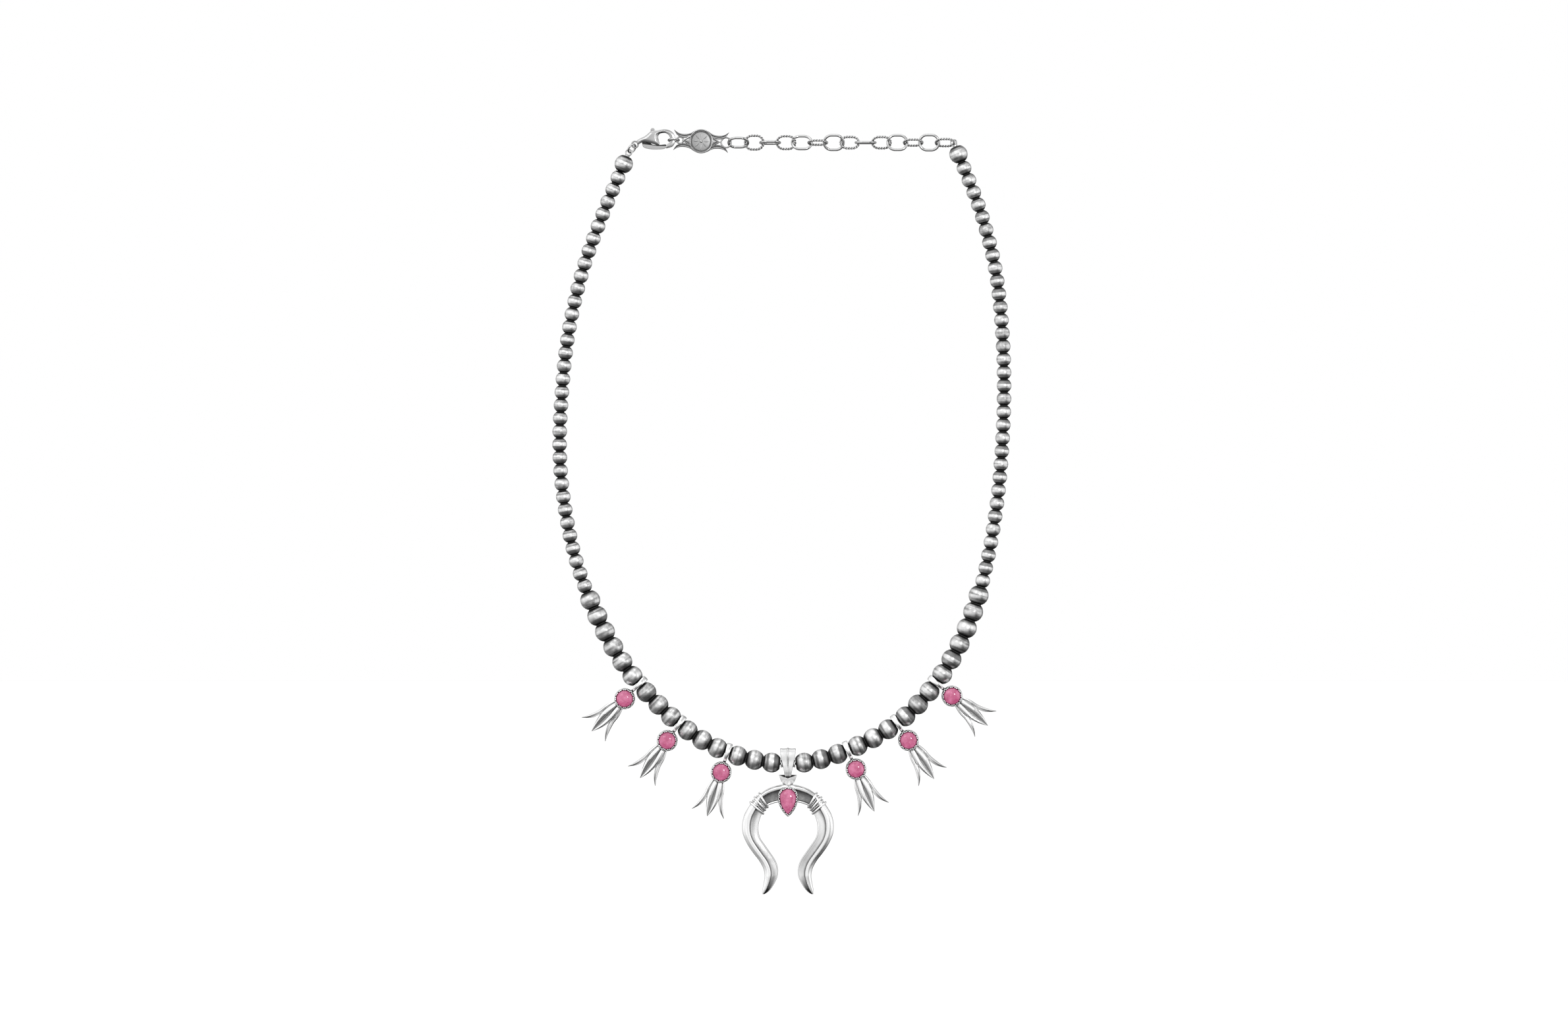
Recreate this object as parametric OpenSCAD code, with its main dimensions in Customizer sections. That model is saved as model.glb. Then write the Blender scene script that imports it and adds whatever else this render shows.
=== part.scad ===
// Squash blossom necklace: two strands of hollow round beads, six blossom drops with round stones,
// a crescent pendant with a pear stone, a lobster clasp, a round tag and an extender chain.
// +Z is up, the front faces -Y, and the origin is on the line of the back chain, above the pendant.

/* [Beads] */
// Diameter of the small beads on the upper strands
small_bead_d = 4.5; // [4:0.1:5.2]
// Diameter of the flat end faces of a small bead
small_face_d = 2.5; // [2:0.1:2.8]
// Number of small beads on each side
small_count = 33; // [28:1:38]
// Diameter of the large beads on the front strands
large_bead_d = 6.1; // [5.6:0.1:6.6]
// Diameter of the flat end faces of a large bead
large_face_d = 3.6; // [3:0.1:3.8]
// Diameter of the bead at each end of the string
end_bead_d = 5.6; // [5:0.1:6.2]
// Diameter of the flat end faces of an end bead
end_face_d = 2.8; // [2.2:0.1:3.2]
// Wall of the hollow beads
bead_wall = 0.35; // [0.25:0.05:0.5]
// Gap between two small beads, measured on the thread
small_gap = 0.24; // [0.2:0.02:0.4]
// Gap between two large beads, measured on the thread
large_gap = 0.36; // [0.34:0.02:0.6]

/* [Thread] */
// Diameter of the thread
thread_d = 0.7; // [0.5:0.05:0.8]
// Clearance round the thread in every bore
thread_clear = 0.15; // [0.1:0.05:0.25]

/* [Extender chain] */
// Number of pairs of one smooth and one twisted link
link_pairs = 7; // [5:1:8]
// Length of a smooth link
smooth_l = 6.7; // [6:0.1:7.4]
// Width of a smooth link
smooth_w = 5.4; // [4.8:0.1:6]
// Wire of a smooth link
smooth_wire = 0.8; // [0.6:0.05:0.9]
// Length of a twisted link
twisted_l = 6.4; // [5.8:0.1:7.2]
// Width of a twisted link
twisted_w = 5; // [4.6:0.1:5.6]
// Diameter round the two strands of a twisted link
twisted_wire = 0.8; // [0.6:0.05:0.9]
// Clearance between links that hang in each other
link_clear = 0.12; // [0.1:0.02:0.2]

/* [End eyes] */
// Mean radius of the eye at each end of the string
eye_r = 0.9; // [0.85:0.05:1.1]
// Wire of the end eyes
eye_wire = 0.4; // [0.3:0.05:0.5]
// Diameter of the collar under an end eye
collar_d = 1.5; // [1.4:0.1:1.8]
// Height of the collar
collar_h = 0.4; // [0.3:0.05:0.8]
// Clearance between the collar and the end bead
collar_clear = 0.1; // [0.1:0.05:0.3]

/* [Clasp] */
// Mean radius of the ring that carries the clasp
ring_r = 1.4; // [1.3:0.05:1.6]
// Wire of the ring that carries the clasp
ring_wire = 0.6; // [0.5:0.05:0.65]
// Rise of that ring from the end eye to the clasp, in degrees
ring_rise = 52; // [46:1:60]
// Mean radius of the loop at the tail of the clasp
tail_r = 0.95; // [0.9:0.05:1.1]
// Wire of the tail loop
tail_wire = 0.5; // [0.4:0.05:0.6]
// Length of the clasp from its tail loop to the outside of its hook
clasp_l = 12.2; // [11.8:0.1:12.8]
// Thickness of the clasp at its middle
clasp_t = 2.8; // [2.4:0.1:3.2]
// Thickness of the lever
lever_t = 1; // [0.8:0.05:1.2]
// Clearance round the lever
lever_clear = 0.12; // [0.1:0.01:0.15]
// Diameter of the lever's pin
lever_pin_d = 0.7; // [0.6:0.05:0.8]
// Running clearance of the lever on its pin
pin_clear = 0.05; // [0.03:0.01:0.08]

/* [Tag] */
// Mean radius of the jump ring between the clasp and the tag
jump_r = 1.6; // [1.55:0.05:1.7]
// Clearance of the jump ring inside the clasp's hook
jump_clear = 0.25; // [0.22:0.02:0.35]
// Wire of the jump ring
jump_wire = 0.6; // [0.5:0.05:0.65]
// Diameter of the tag's disc
tag_d = 7.3; // [6.8:0.1:7.8]
// Thickness of the tag
tag_t = 1.2; // [1:0.1:1.6]
// Reach of the tag's four horns from its centre
tag_reach = 8.3; // [8.1:0.1:8.6]
// Tilt of the tag, its right end down, in degrees
tag_tilt = 3; // [0:1:5]
// Mean radius of the small loop on the tag's clasp side
tag_loop_r = 1; // [0.95:0.05:1.1]
// Distance of the small loop from the tag's centre
tag_loop_x = 6.4; // [6.2:0.1:6.6]
// Mean radius of the large loop on the tag's chain side
tag_ring_r = 1.5; // [1.4:0.05:1.6]
// Distance of the large loop from the tag's centre
tag_ring_x = 7.6; // [7.4:0.1:7.8]
// Wire of both loops of the tag
tag_wire = 0.5; // [0.4:0.05:0.55]

/* [Blossoms] */
// Distance from the thread to the centre of a blossom's stone
drop_l = 6.2; // [6:0.1:7]
// Diameter of the round stones
stone_d = 5.2; // [4.6:0.1:5.4]
// Height of the dome of a round stone
stone_dome = 1.6; // [1.2:0.1:1.9]
// Clearance round every stone in its bezel
stone_clear = 0.2; // [0.15:0.05:0.4]
// Wall of the bezels
bezel_wall = 0.4; // [0.35:0.05:0.6]
// Depth of the bezels from back to rim
bezel_h = 3; // [2.6:0.1:3.4]
// Number of teeth on the rim of a round bezel
bezel_teeth = 12; // [8:1:16]
// Length of the bud from the stone's centre to its tip
bud_l = 14.1; // [12.5:0.1:15.5]
// Width of the bud
bud_w = 3.9; // [3.2:0.1:4.4]
// Reach of each sepal's tip to the side
sepal_out = 5.1; // [4.5:0.1:5.8]
// Length of the sepals from the stone's centre
sepal_l = 13.3; // [12:0.1:14.5]
// Width of a sepal
sepal_w = 1.6; // [1.3:0.1:1.8]
// Thickness of the bud and the sepals
petal_t = 1.7; // [1.4:0.1:2]
// Width of a blossom's bail over the strand
bail_top_w = 1.8; // [1.5:0.1:2]
// Width of a blossom's bail at its bezel
bail_end_w = 0.9; // [0.7:0.1:1.2]
// Thickness of a blossom's bail
bail_t = 0.5; // [0.4:0.05:0.6]
// Clearance between a bail and the beads beside it
bail_clear = 0.24; // [0.2:0.02:0.3]
// Free length of thread that a blossom's bail takes
bail_space = 1.25; // [1.2:0.05:1.6]

/* [Crescent pendant] */
// Width of the crescent
naja_w = 27.9; // [26:0.1:30]
// Height of the crescent from its arch to its tips
naja_h = 33.4; // [31:0.1:36]
// Thickness of the crescent
naja_t = 2.6; // [2.2:0.1:3]
// Distance from the thread to the top of the arch
naja_drop = 6.2; // [6:0.1:7]
// Width of the pendant's bail at its top
naja_bail_w = 4.8; // [4.2:0.1:4.8]
// Width of the pendant's bail at its foot
naja_bail_end_w = 2; // [1.6:0.1:2.4]
// Rise of the pendant's bail above the thread
naja_bail_rise = 5; // [4.4:0.1:5.6]
// Thickness of the pendant's bail
naja_bail_t = 0.7; // [0.5:0.05:0.8]
// Outer diameter of the sleeve in the bail
sleeve_d = 2.3; // [2:0.1:2.4]
// Length of the sleeve along the thread
sleeve_l = 4.4; // [4.2:0.1:4.8]
// Clearance between the sleeve and the beads beside it
sleeve_clear = 0.3; // [0.28:0.02:0.4]
// Width of the arrowhead cup under the bail
cup_w = 5.6; // [5:0.1:6]
// Height of the arrowhead cup
cup_h = 3.7; // [3.2:0.1:4]
// Width of the pear stone
pear_w = 5; // [4.4:0.1:5.1]
// Height of the pear stone
pear_h = 7.8; // [7.2:0.1:8.4]
// Height of the dome of the pear stone
pear_dome = 1.6; // [1.2:0.1:1.8]

/* [Hidden] */
GROUPS = [6, 3, 3, 3];
SIDES = ["left", "right"];
BLOSSOMS = [for (side = SIDES) for (k = [1:3]) str("blossom_", side, "_", k)];
STONES = [for (side = SIDES) for (k = [1:3]) str("stone_", side, "_", k)];
SMOOTH = [for (k = [1:link_pairs]) str("smooth_link_", k)];
TWISTED = [for (k = [1:link_pairs]) str("twisted_link_", k)];
fine = 48;
side_fine = 32;
// How far a cutter runs past the face it opens
past = 1;
steel = [0.78, 0.78, 0.8];
dark_silver = [0.55, 0.55, 0.57];
pink = [0.78, 0.37, 0.55];

// Length of a bead between its end faces
function bead_len(d, face) = 2 * sqrt(pow(d / 2, 2) - pow(face / 2, 2));
small_len = bead_len(small_bead_d, small_face_d);
large_len = bead_len(large_bead_d, large_face_d);
end_len = bead_len(end_bead_d, end_face_d);
hole_r = thread_d / 2 + thread_clear;

// Lengths of the closure, from the left end eye to the right end eye
eye_hole = eye_r - eye_wire / 2;
tail_hole = tail_r - tail_wire / 2;
ring_span = 2 * ring_r + tail_hole - ring_wire / 2 - link_clear;
hook_share = 0.877;
hook_in = hook_share * clasp_l;
jump_in = hook_in - jump_wire / 2 - jump_clear;
loop_hole = tag_loop_r - tag_wire / 2;
tag_x = jump_in + 2 * jump_r + loop_hole - jump_wire / 2 - link_clear + tag_loop_x;
tag_ring_hole = tag_ring_r - tag_wire / 2;
first_link_in = tag_x + tag_ring_x + tag_ring_hole - smooth_wire / 2 - link_clear;
first_link_x = first_link_in + (smooth_l - smooth_wire) / 2;
link_pitch = (smooth_l + twisted_l) / 2 - smooth_wire - twisted_wire - link_clear;
last_link_x = first_link_x + (2 * link_pairs - 1) * link_pitch;
tail_to_eye = last_link_x + (twisted_l - twisted_wire) / 2 - (eye_hole - twisted_wire / 2 - link_clear);
span = tail_to_eye + ring_span * cos(ring_rise);

// Share of the span that lies left of the pendant
left_share = 0.492;
tag_z = 0.3;
chain_z = tag_z - tag_ring_x * sin(tag_tilt);
jump_z = tag_z + tag_loop_x * sin(tag_tilt);
// Depth of the clasp's tail under the jump ring in its hook
tail_low = 1.3;
tail_at = [-left_share * span + ring_span * cos(ring_rise), 0, jump_z - tail_low];
left_eye = tail_at - ring_span * [cos(ring_rise), 0, sin(ring_rise)];
right_eye = [(1 - left_share) * span, 0, chain_z];

// Route of the bead string: x in shares of the span, z in shares of the drop to the pendant
ROUTE = [
    [-left_share, 0], [-0.52, 0.035], [-0.575, 0.105], [-0.635, 0.195], [-0.679, 0.3], [-0.7, 0.41],
    [-0.704, 0.5], [-0.686, 0.59], [-0.65, 0.675], [-0.59, 0.757], [-0.51, 0.835], [-0.415, 0.896],
    [-0.3, 0.95], [-0.178, 0.984], [-0.06, 0.998], [0, 1], [0.06, 0.998],
    [0.165, 0.982], [0.285, 0.952], [0.385, 0.912], [0.477, 0.853], [0.55, 0.78], [0.6, 0.7],
    [0.636, 0.6], [0.655, 0.505], [0.663, 0.4], [0.657, 0.3], [0.635, 0.2], [0.59, 0.11],
    [0.535, 0.035], [1 - left_share, 0]
];

// A smooth curve through points, with n steps between each two
function mix(a, b, t) = a + (b - a) * t;
function through(a, b, c, d, t) =
    (2 * b + (c - a) * t + (2 * a - 5 * b + 4 * c - d) * t * t + (3 * b - a - 3 * c + d) * t * t * t) / 2;
function curve_at(p, i, t) =
    through(p[max(i - 1, 0)], p[i], p[i + 1], p[min(i + 2, len(p) - 1)], t);
function curve(p, n) = [
    for (i = [0:len(p) - 2], k = [0:n - 1]) curve_at(p, i, k / n),
    p[len(p) - 1]
];
// Running length at every point of a route
function running(p) = [
    for (i = 0, s = 0; i < len(p); s = s + (i + 1 < len(p) ? norm(p[i + 1] - p[i]) : 0), i = i + 1) s
];
function total(v, i = 0) = i < len(v) ? v[i] + total(v, i + 1) : 0;

SHAPE = curve(ROUTE, 8);
function top_z(x) = x < 0 ? left_eye[2] : right_eye[2];
function route_at(drop) = [for (p = SHAPE) [p[0] * span, mix(top_z(p[0]), -drop, p[1])]];
function route_len(drop) = let (s = running(route_at(drop))) s[len(s) - 1];

// What lies on the string, from the left end eye to the right one, as [kind, length]
eye_reach = eye_r + collar_h + collar_clear;
pocket = eye_reach - collar_clear - 0.8 * collar_h;
seat_gap = 0.1;
naja_space = sleeve_l + 2 * sleeve_clear - large_gap;
half_string = concat(
    [["eye", eye_reach - small_gap / 2], ["end", end_len + small_gap]],
    [for (k = [1:small_count]) ["small", small_len + small_gap]],
    [for (g = [0:len(GROUPS) - 1]) each concat(
        [for (k = [1:GROUPS[g]]) ["large", large_len + large_gap]],
        g < len(GROUPS) - 1 ? [["bail", bail_space]] : [])]);
last = len(half_string) - 1;
string = concat(half_string, [["naja", naja_space]], [for (k = [last:-1:0]) half_string[k]]);
string_len = total([for (e = string) e[1]]);

// The drop at which the route is as long as what lies on it
function fit_drop(low, high, n) =
    let (middle = (low + high) / 2)
    n == 0 ? middle
    : route_len(middle) < string_len ? fit_drop(middle, high, n - 1) : fit_drop(low, middle, n - 1);
drop = fit_drop(span / 2, string_len / 2, 30);
PATH = route_at(drop);
RUN = running(PATH);
TO_X = [for (i = [0:len(PATH) - 1]) [RUN[i], PATH[i][0]]];
TO_Z = [for (i = [0:len(PATH) - 1]) [RUN[i], PATH[i][1]]];
starts = [for (i = 0, s = 0; i <= len(string); s = s + (i < len(string) ? string[i][1] : 0), i = i + 1) s];
// Points of the thread, between one piece on it and the next
KNOTS = [for (s = starts) [lookup(s, TO_X), 0, lookup(s, TO_Z)]];

function places(kind, side) =
    let (half = floor(len(string) / 2))
    [for (i = [0:len(string) - 1]) if (string[i][0] == kind && (i < half) == (side == "left")) i];
function heading(a, b) = atan2(b[0] - a[0], b[2] - a[2]);

// Places a child on piece i of the string: Z along the thread, X outwards from the loop
module on_string(i) {
    a = KNOTS[i];
    b = KNOTS[i + 1];
    translate((a + b) / 2) rotate([0, heading(a, b), 0]) children();
}

// Skin over rings of points with equal counts; a looped skin joins its last ring to its first
module skin(rings, looped = false) {
    n = len(rings);
    m = len(rings[0]);
    sides = [
        for (i = [0:n - (looped ? 1 : 2)], j = [0:m - 1])
            let (here = i * m, next = (i + 1) % n * m, k = (j + 1) % m)
            each [[here + j, here + k, next + k], [here + j, next + k, next + j]]
    ];
    ends = looped ? [] : [[for (j = [m - 1:-1:0]) j], [for (j = [0:m - 1]) (n - 1) * m + j]];
    polyhedron([for (ring = rings) each ring], concat(sides, ends));
}

// Point at a distance from a towards b
function toward(a, b, reach) = a + (b - a) / norm(b - a) * reach;
// Unit vectors along and across a flat path in XZ at point i
function along(p, i) = let (d = p[min(i + 1, len(p) - 1)] - p[max(i - 1, 0)]) d / norm(d);
function across(p, i) = let (d = along(p, i)) [-d[2], 0, d[0]];
// A section: shares of the half width across, and of the thickness in depth
function section(at, side, half, t, shape) = [for (s = shape) at + side * (s[0] * half) + [0, s[1] * t, 0]];
// Ridged section, front first: ridge, hollow facet, edge, back, back, edge, hollow facet
RIDGED = [[0, -0.62], [0.5, -0.26], [1, -0.1], [0.75, 0.38], [-0.75, 0.38], [-1, -0.1], [-0.5, -0.26]];

// A wire ring in the XZ plane
module ring(r, wire) {
    rotate([90, 0, 0]) rotate_extrude($fn = fine) translate([r, 0]) circle(d = wire, $fn = side_fine);
}

// A rounded link in the XZ plane, its length along X
module oval_link(l, w, wire) {
    r = (w - wire) / 2;
    straight = l - w;
    for (s = [-1, 1]) {
        translate([s * straight / 2, 0, 0]) rotate([90, s * 90, 0])
            rotate_extrude(angle = 180, $fn = fine) translate([r, 0]) circle(d = wire, $fn = side_fine);
        translate([-straight / 2, 0, s * r]) rotate([0, 90, 0])
            cylinder(d = wire, h = straight, $fn = side_fine);
    }
}

// A link of the same outline, of two wires laid round each other
module rope_link(l, w, wire) {
    r = (w - wire) / 2;
    straight = l - w;
    around = 36;
    turns = 9;
    lobes = 8;
    length = 2 * straight + 2 * PI * r;
    path = [for (i = [0:around - 1]) let (s = length * i / around) oval_point(s, r, straight)];
    skin([
        for (i = [0:around - 1])
            let (p = path[i], d = path[(i + 1) % around] - path[(i + around - 1) % around], u = d / norm(d))
            [for (j = [0:lobes - 1])
                let (a = 360 * j / lobes, twist = 180 * turns * i / around,
                     q = wire / 2 * (0.86 + 0.14 * cos(2 * (a - twist))))
                p + [-u[2], 0, u[0]] * (q * cos(a)) + [0, q * sin(a), 0]]
    ], looped = true);
}
function oval_point(s, r, straight) =
    let (arc = PI * r, b = s - straight)
    s < straight ? [s - straight / 2, 0, r]
    : b < arc ? [straight / 2 + r * sin(b / r * 180 / PI), 0, r * cos(b / r * 180 / PI)]
    : b < arc + straight ? [straight / 2 - (b - arc), 0, -r]
    : let (c = (b - arc - straight) / r * 180 / PI) [-straight / 2 - r * sin(c), 0, -r * cos(c)];

// A hollow bead with flat end faces, its bore along Z
module bead(d, face) {
    l = bead_len(d, face);
    rotate_extrude($fn = fine) difference() {
        intersection() {
            circle(d = d, $fn = fine);
            translate([0, -l / 2]) square([d, l]);
        }
        intersection() {
            circle(d = d - 2 * bead_wall, $fn = fine);
            translate([0, bead_wall - l / 2]) square([d, l - 2 * bead_wall]);
        }
        translate([-d, -l]) square([d + hole_r, 2 * l]);
    }
}
module beads(kind, side, d, face) {
    color(dark_silver) for (i = places(kind, side)) on_string(i) bead(d, face);
}

// The thread through everything on the string, from one end eye's collar to the other
module thread() {
    sides = 8;
    n = len(KNOTS);
    first = toward(KNOTS[0], KNOTS[1], pocket + seat_gap);
    final = toward(KNOTS[n - 1], KNOTS[n - 2], pocket + seat_gap);
    points = concat([first], [for (i = [1:n - 2]) KNOTS[i]], [final]);
    color([0.3, 0.3, 0.32]) skin([
        for (i = [0:len(points) - 1])
            [for (j = [0:sides - 1])
                let (a = 360 * j / sides)
                points[i] + across(points, i) * (thread_d / 2 * cos(a)) + [0, thread_d / 2 * sin(a), 0]]
    ]);
}

// Eye on the string's end: a ring on a collar that takes the thread's end, Z towards the bead
module end_eye() {
    color(steel) difference() {
        union() {
            ring(eye_r, eye_wire);
            translate([0, 0, eye_r - eye_wire / 4])
                cylinder(d = collar_d, h = collar_h + eye_wire / 4, $fn = fine);
        }
        translate([0, 0, pocket]) cylinder(r = hole_r, h = collar_h + past, $fn = fine);
    }
}
module eye_left() {
    translate(left_eye) rotate([0, heading(KNOTS[0], KNOTS[1]), 0]) end_eye();
}
module eye_right() {
    n = len(KNOTS);
    translate(right_eye) rotate([0, heading(KNOTS[n - 1], KNOTS[n - 2]), 0]) end_eye();
}

// Turn of each pair of links about the chain, smooth and twisted, in degrees: 0 faces the front
ROLLS = [[55, -5], [85, 25], [-30, 75], [20, -32], [90, 38], [-15, 67], [5, 62], [-50, 10]];
module links(kind, k) {
    x = tail_at[0] + first_link_x + (2 * (k - 1) + (kind == "smooth" ? 0 : 1)) * link_pitch;
    roll = ROLLS[k - 1][kind == "smooth" ? 0 : 1];
    color(steel) translate([x, 0, chain_z]) rotate([roll, 0, 0])
        if (kind == "smooth") oval_link(smooth_l, smooth_w, smooth_wire);
        else rope_link(twisted_l, twisted_w, twisted_wire);
}

// Ring between the left end eye and the clasp's tail
ring_roll = 55;
module clasp_ring() {
    color(steel) translate((left_eye + tail_at) / 2) rotate([0, -ring_rise, 0])
        rotate([ring_roll, 0, 0]) ring(ring_r, ring_wire);
}

// Clasp from the side, x from its tail loop and z up, in shares of its length
CLASP_SIDE = [
    [0.074, 0], [0.052, 0.098], [0.26, 0.213], [0.385, 0.32], [0.45, 0.342], [0.557, 0.35], [0.72, 0.377],
    [0.82, 0.365], [0.9, 0.33], [0.97, 0.26], [1, 0.156], [0.99, 0.033], [0.934, -0.05], [0.765, -0.09],
    [0.792, 0], [0.82, 0.016], [0.865, 0.07], [hook_share, 0.14], [0.844, 0.23], [0.785, 0.275],
    [0.72, 0.287], [0.623, 0.27], [0.578, 0.213], [0.582, 0.131], [0.607, 0.033], [0.574, -0.016],
    [0.344, 0.045], [0.197, 0.06]
];
// Half thickness of the clasp along it: x in shares of its length, y in shares of its thickness
CLASP_TOP = [[0.03, 0.2], [0.16, 0.4], [0.37, 0.5], [0.57, 0.46], [0.74, 0.3], [0.87, 0.2], [1.02, 0.17]];
// Slot for the lever, and the lever itself, in shares of the clasp's length
CLASP_SLOT = [
    [0.12, -0.2], [0.12, 0.15], [0.27, 0.24], [0.27, 0.5], [0.515, 0.5], [0.515, 0.22], [0.66, 0.2],
    [0.66, -0.2]
];
LEVER = [
    [0.18, 0.13], [0.18, 0.016], [0.215, -0.07], [0.37, -0.115], [0.575, -0.122], [0.745, -0.1],
    [0.773, -0.004], [0.62, -0.01], [0.43, 0], [0.375, 0.1], [0.435, 0.21], [0.485, 0.32], [0.41, 0.34],
    [0.345, 0.27], [0.29, 0.205], [0.23, 0.197]
];
pivot = [0.262, 0.123];
knob = [0.44, 0.355];
knob_d = 1.3;

module in_clasp() {
    translate(tail_at) children();
}
// Extrudes a side outline along Y about the middle plane
module slab(t) {
    translate([0, t / 2, 0]) rotate([90, 0, 0]) linear_extrude(t) children();
}
module clasp_body() {
    slot_t = lever_t + 2 * lever_clear;
    color(steel) in_clasp() union() {
        ring(tail_r, tail_wire);
        difference() {
            intersection() {
                slab(clasp_t) polygon(clasp_l * CLASP_SIDE);
                for (turn = [0, 180]) rotate([turn, 0, 0]) translate([0, 0, -clasp_l])
                    linear_extrude(2 * clasp_l) polygon(concat(
                        [[CLASP_TOP[0][0] * clasp_l, 0]],
                        [for (p = CLASP_TOP) [p[0] * clasp_l, p[1] * clasp_t]],
                        [[CLASP_TOP[len(CLASP_TOP) - 1][0] * clasp_l, 0]]));
            }
            slab(slot_t) polygon(clasp_l * CLASP_SLOT);
        }
        slab(clasp_t * 0.9) translate(clasp_l * pivot) circle(d = lever_pin_d, $fn = side_fine);
    }
}
module clasp_lever() {
    color(dark_silver) in_clasp() slab(lever_t) difference() {
        union() {
            polygon(clasp_l * LEVER);
            translate(clasp_l * knob) circle(d = knob_d, $fn = side_fine);
        }
        translate(clasp_l * pivot) circle(d = lever_pin_d + 2 * pin_clear, $fn = side_fine);
    }
}

// Ring between the clasp's hook and the tag
jump_roll = 80;
module jump_ring() {
    color(steel) translate([tail_at[0] + jump_in + jump_r, 0, jump_z])
        rotate([jump_roll, 0, 0]) ring(jump_r, jump_wire);
}

// One horn of the tag: x and z of its middle line and half its width, in shares of the horns' reach
HORN = [[0.2, 0.33, 0.06], [0.33, 0.25, 0.052], [0.46, 0.2, 0.055], [0.6, 0.172, 0.064], [0.73, 0.18, 0.06],
    [0.85, 0.225, 0.045], [0.93, 0.29, 0.026], [1, 0.37, 0.006]];
// Outline of a bent band from rows of x, z and half width
function flat_across(p, i) =
    let (a = p[max(i - 1, 0)], b = p[min(i + 1, len(p) - 1)], d = [b[0] - a[0], b[1] - a[1]])
    [-d[1], d[0]] / norm(d);
function band(p) = concat(
    [for (i = [0:len(p) - 1]) [p[i][0], p[i][1]] + flat_across(p, i) * p[i][2]],
    [for (i = [len(p) - 1:-1:0]) [p[i][0], p[i][1]] - flat_across(p, i) * p[i][2]]);
// Points of the tag's two wide ends, in shares of its disc and of the horns' reach
TAG_POINT = [0.35, 0.26, 0.71];
tag_rim = 0.55;
tag_recess = 0.2;
module tag() {
    horn = band(curve(tag_reach * HORN, 2));
    color(steel) translate([tail_at[0] + tag_x, 0, tag_z]) rotate([0, tag_tilt, 0]) difference() {
        union() {
            slab(tag_t) circle(d = tag_d, $fn = fine);
            for (turn = [0, 180]) rotate([0, turn, 0]) slab(tag_t * 0.9) polygon([
                tag_d * [TAG_POINT[0], TAG_POINT[1]], [tag_reach * TAG_POINT[2], 0],
                tag_d * [TAG_POINT[0], -TAG_POINT[1]]]);
            for (sx = [-1, 1], sz = [-1, 1])
                slab(tag_t * 0.8) polygon([for (p = horn) [sx * p[0], sz * p[1]]]);
            translate([-tag_loop_x, 0, 0]) ring(tag_loop_r, tag_wire);
            translate([tag_ring_x, 0, 0]) ring(tag_ring_r, tag_wire);
        }
        translate([0, tag_recess - tag_t / 2, 0]) rotate([90, 0, 0])
            cylinder(d = tag_d - 2 * tag_rim, h = past, $fn = fine);
    }
}

// Round bezel and its stone, on the Y axis, the back at y = bezel_back
bezel_back = 0.6;
floor_t = 0.4;
seat_t = 0.1;
// Height of the lip that leans in over the stone, and of the stone's girdle under the rim
lip_h = 0.8;
lip_in = 0.25;
girdle_low = 0.7;
tooth_r = 0.4;
stone_r = stone_d / 2;
bezel_r = stone_r + stone_clear + bezel_wall;
rim_y = bezel_back - bezel_h;
stone_back = bezel_back - floor_t - seat_t;
girdle_y = rim_y + girdle_low;
module toothed_bezel() {
    bore_r = bezel_r - bezel_wall;
    difference() {
        rotate([90, 0, 0]) translate([0, 0, -bezel_back]) rotate_extrude($fn = fine) polygon([
            [0, 0], [bezel_r, 0], [bezel_r, bezel_h - lip_h], [bezel_r - lip_in, bezel_h],
            [bore_r - lip_in / 2, bezel_h], [bore_r, bezel_h - lip_h], [bore_r, floor_t], [0, floor_t]]);
        for (k = [0:bezel_teeth - 1]) rotate([0, (k + 0.5) * 360 / bezel_teeth, 0])
            translate([bore_r - past / 2, rim_y, 0]) rotate([0, 90, 0])
                cylinder(r = tooth_r, h = bezel_wall + past, $fn = side_fine);
    }
}
// A flat-backed stone of the child's outline, its cap of height dome cut from a ball through radius r
module domed(back, girdle, dome, r) {
    ball = (r * r + dome * dome) / (2 * dome);
    intersection() {
        translate([0, back, 0]) rotate([90, 0, 0]) linear_extrude(back - girdle + dome + past) children();
        translate([0, girdle - dome + ball, 0]) union() {
            sphere(r = ball, $fn = fine);
            rotate([-90, 0, 0]) cylinder(r = ball, h = ball, $fn = fine);
        }
    }
}

// Bud: distance from the stone, half width and thickness in shares of the bud's length, width and thickness
BUD = [[0.21, 0.33, 0.7], [0.27, 0.39, 0.85], [0.38, 0.46, 0.97], [0.5, 0.5, 1], [0.62, 0.47, 0.95],
    [0.74, 0.38, 0.8], [0.85, 0.26, 0.6], [0.94, 0.12, 0.35], [1, 0.015, 0.15]];
// Sepal: distance from the stone, reach to the side, half width and thickness, in shares as above
SEPAL = [[0.19, 0.25, 0.28, 0.5], [0.3, 0.34, 0.37, 0.62], [0.42, 0.41, 0.41, 0.75],
    [0.55, 0.45, 0.4, 0.85], [0.68, 0.53, 0.42, 0.9], [0.8, 0.65, 0.38, 0.8], [0.9, 0.8, 0.23, 0.6],
    [1, 1, 0.05, 0.3]];
petal_y = -0.2;
// Set-back of the sepals behind the bud
sepal_back = 0.3;
sepal_t = 0.8 * petal_t;
// Depth of the root of the bud, and of the sepals' roots, under the bezel's outer wall
bud_root = 0.339;
sepal_root = 0.773;
// Distance from the stone's centre of a row of a petal that springs from the bezel
function from_bezel(share, rows, l, root) =
    let (first = rows[0][0], base = bezel_r - root) base + (share - first) / (1 - first) * (l - base);
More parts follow.
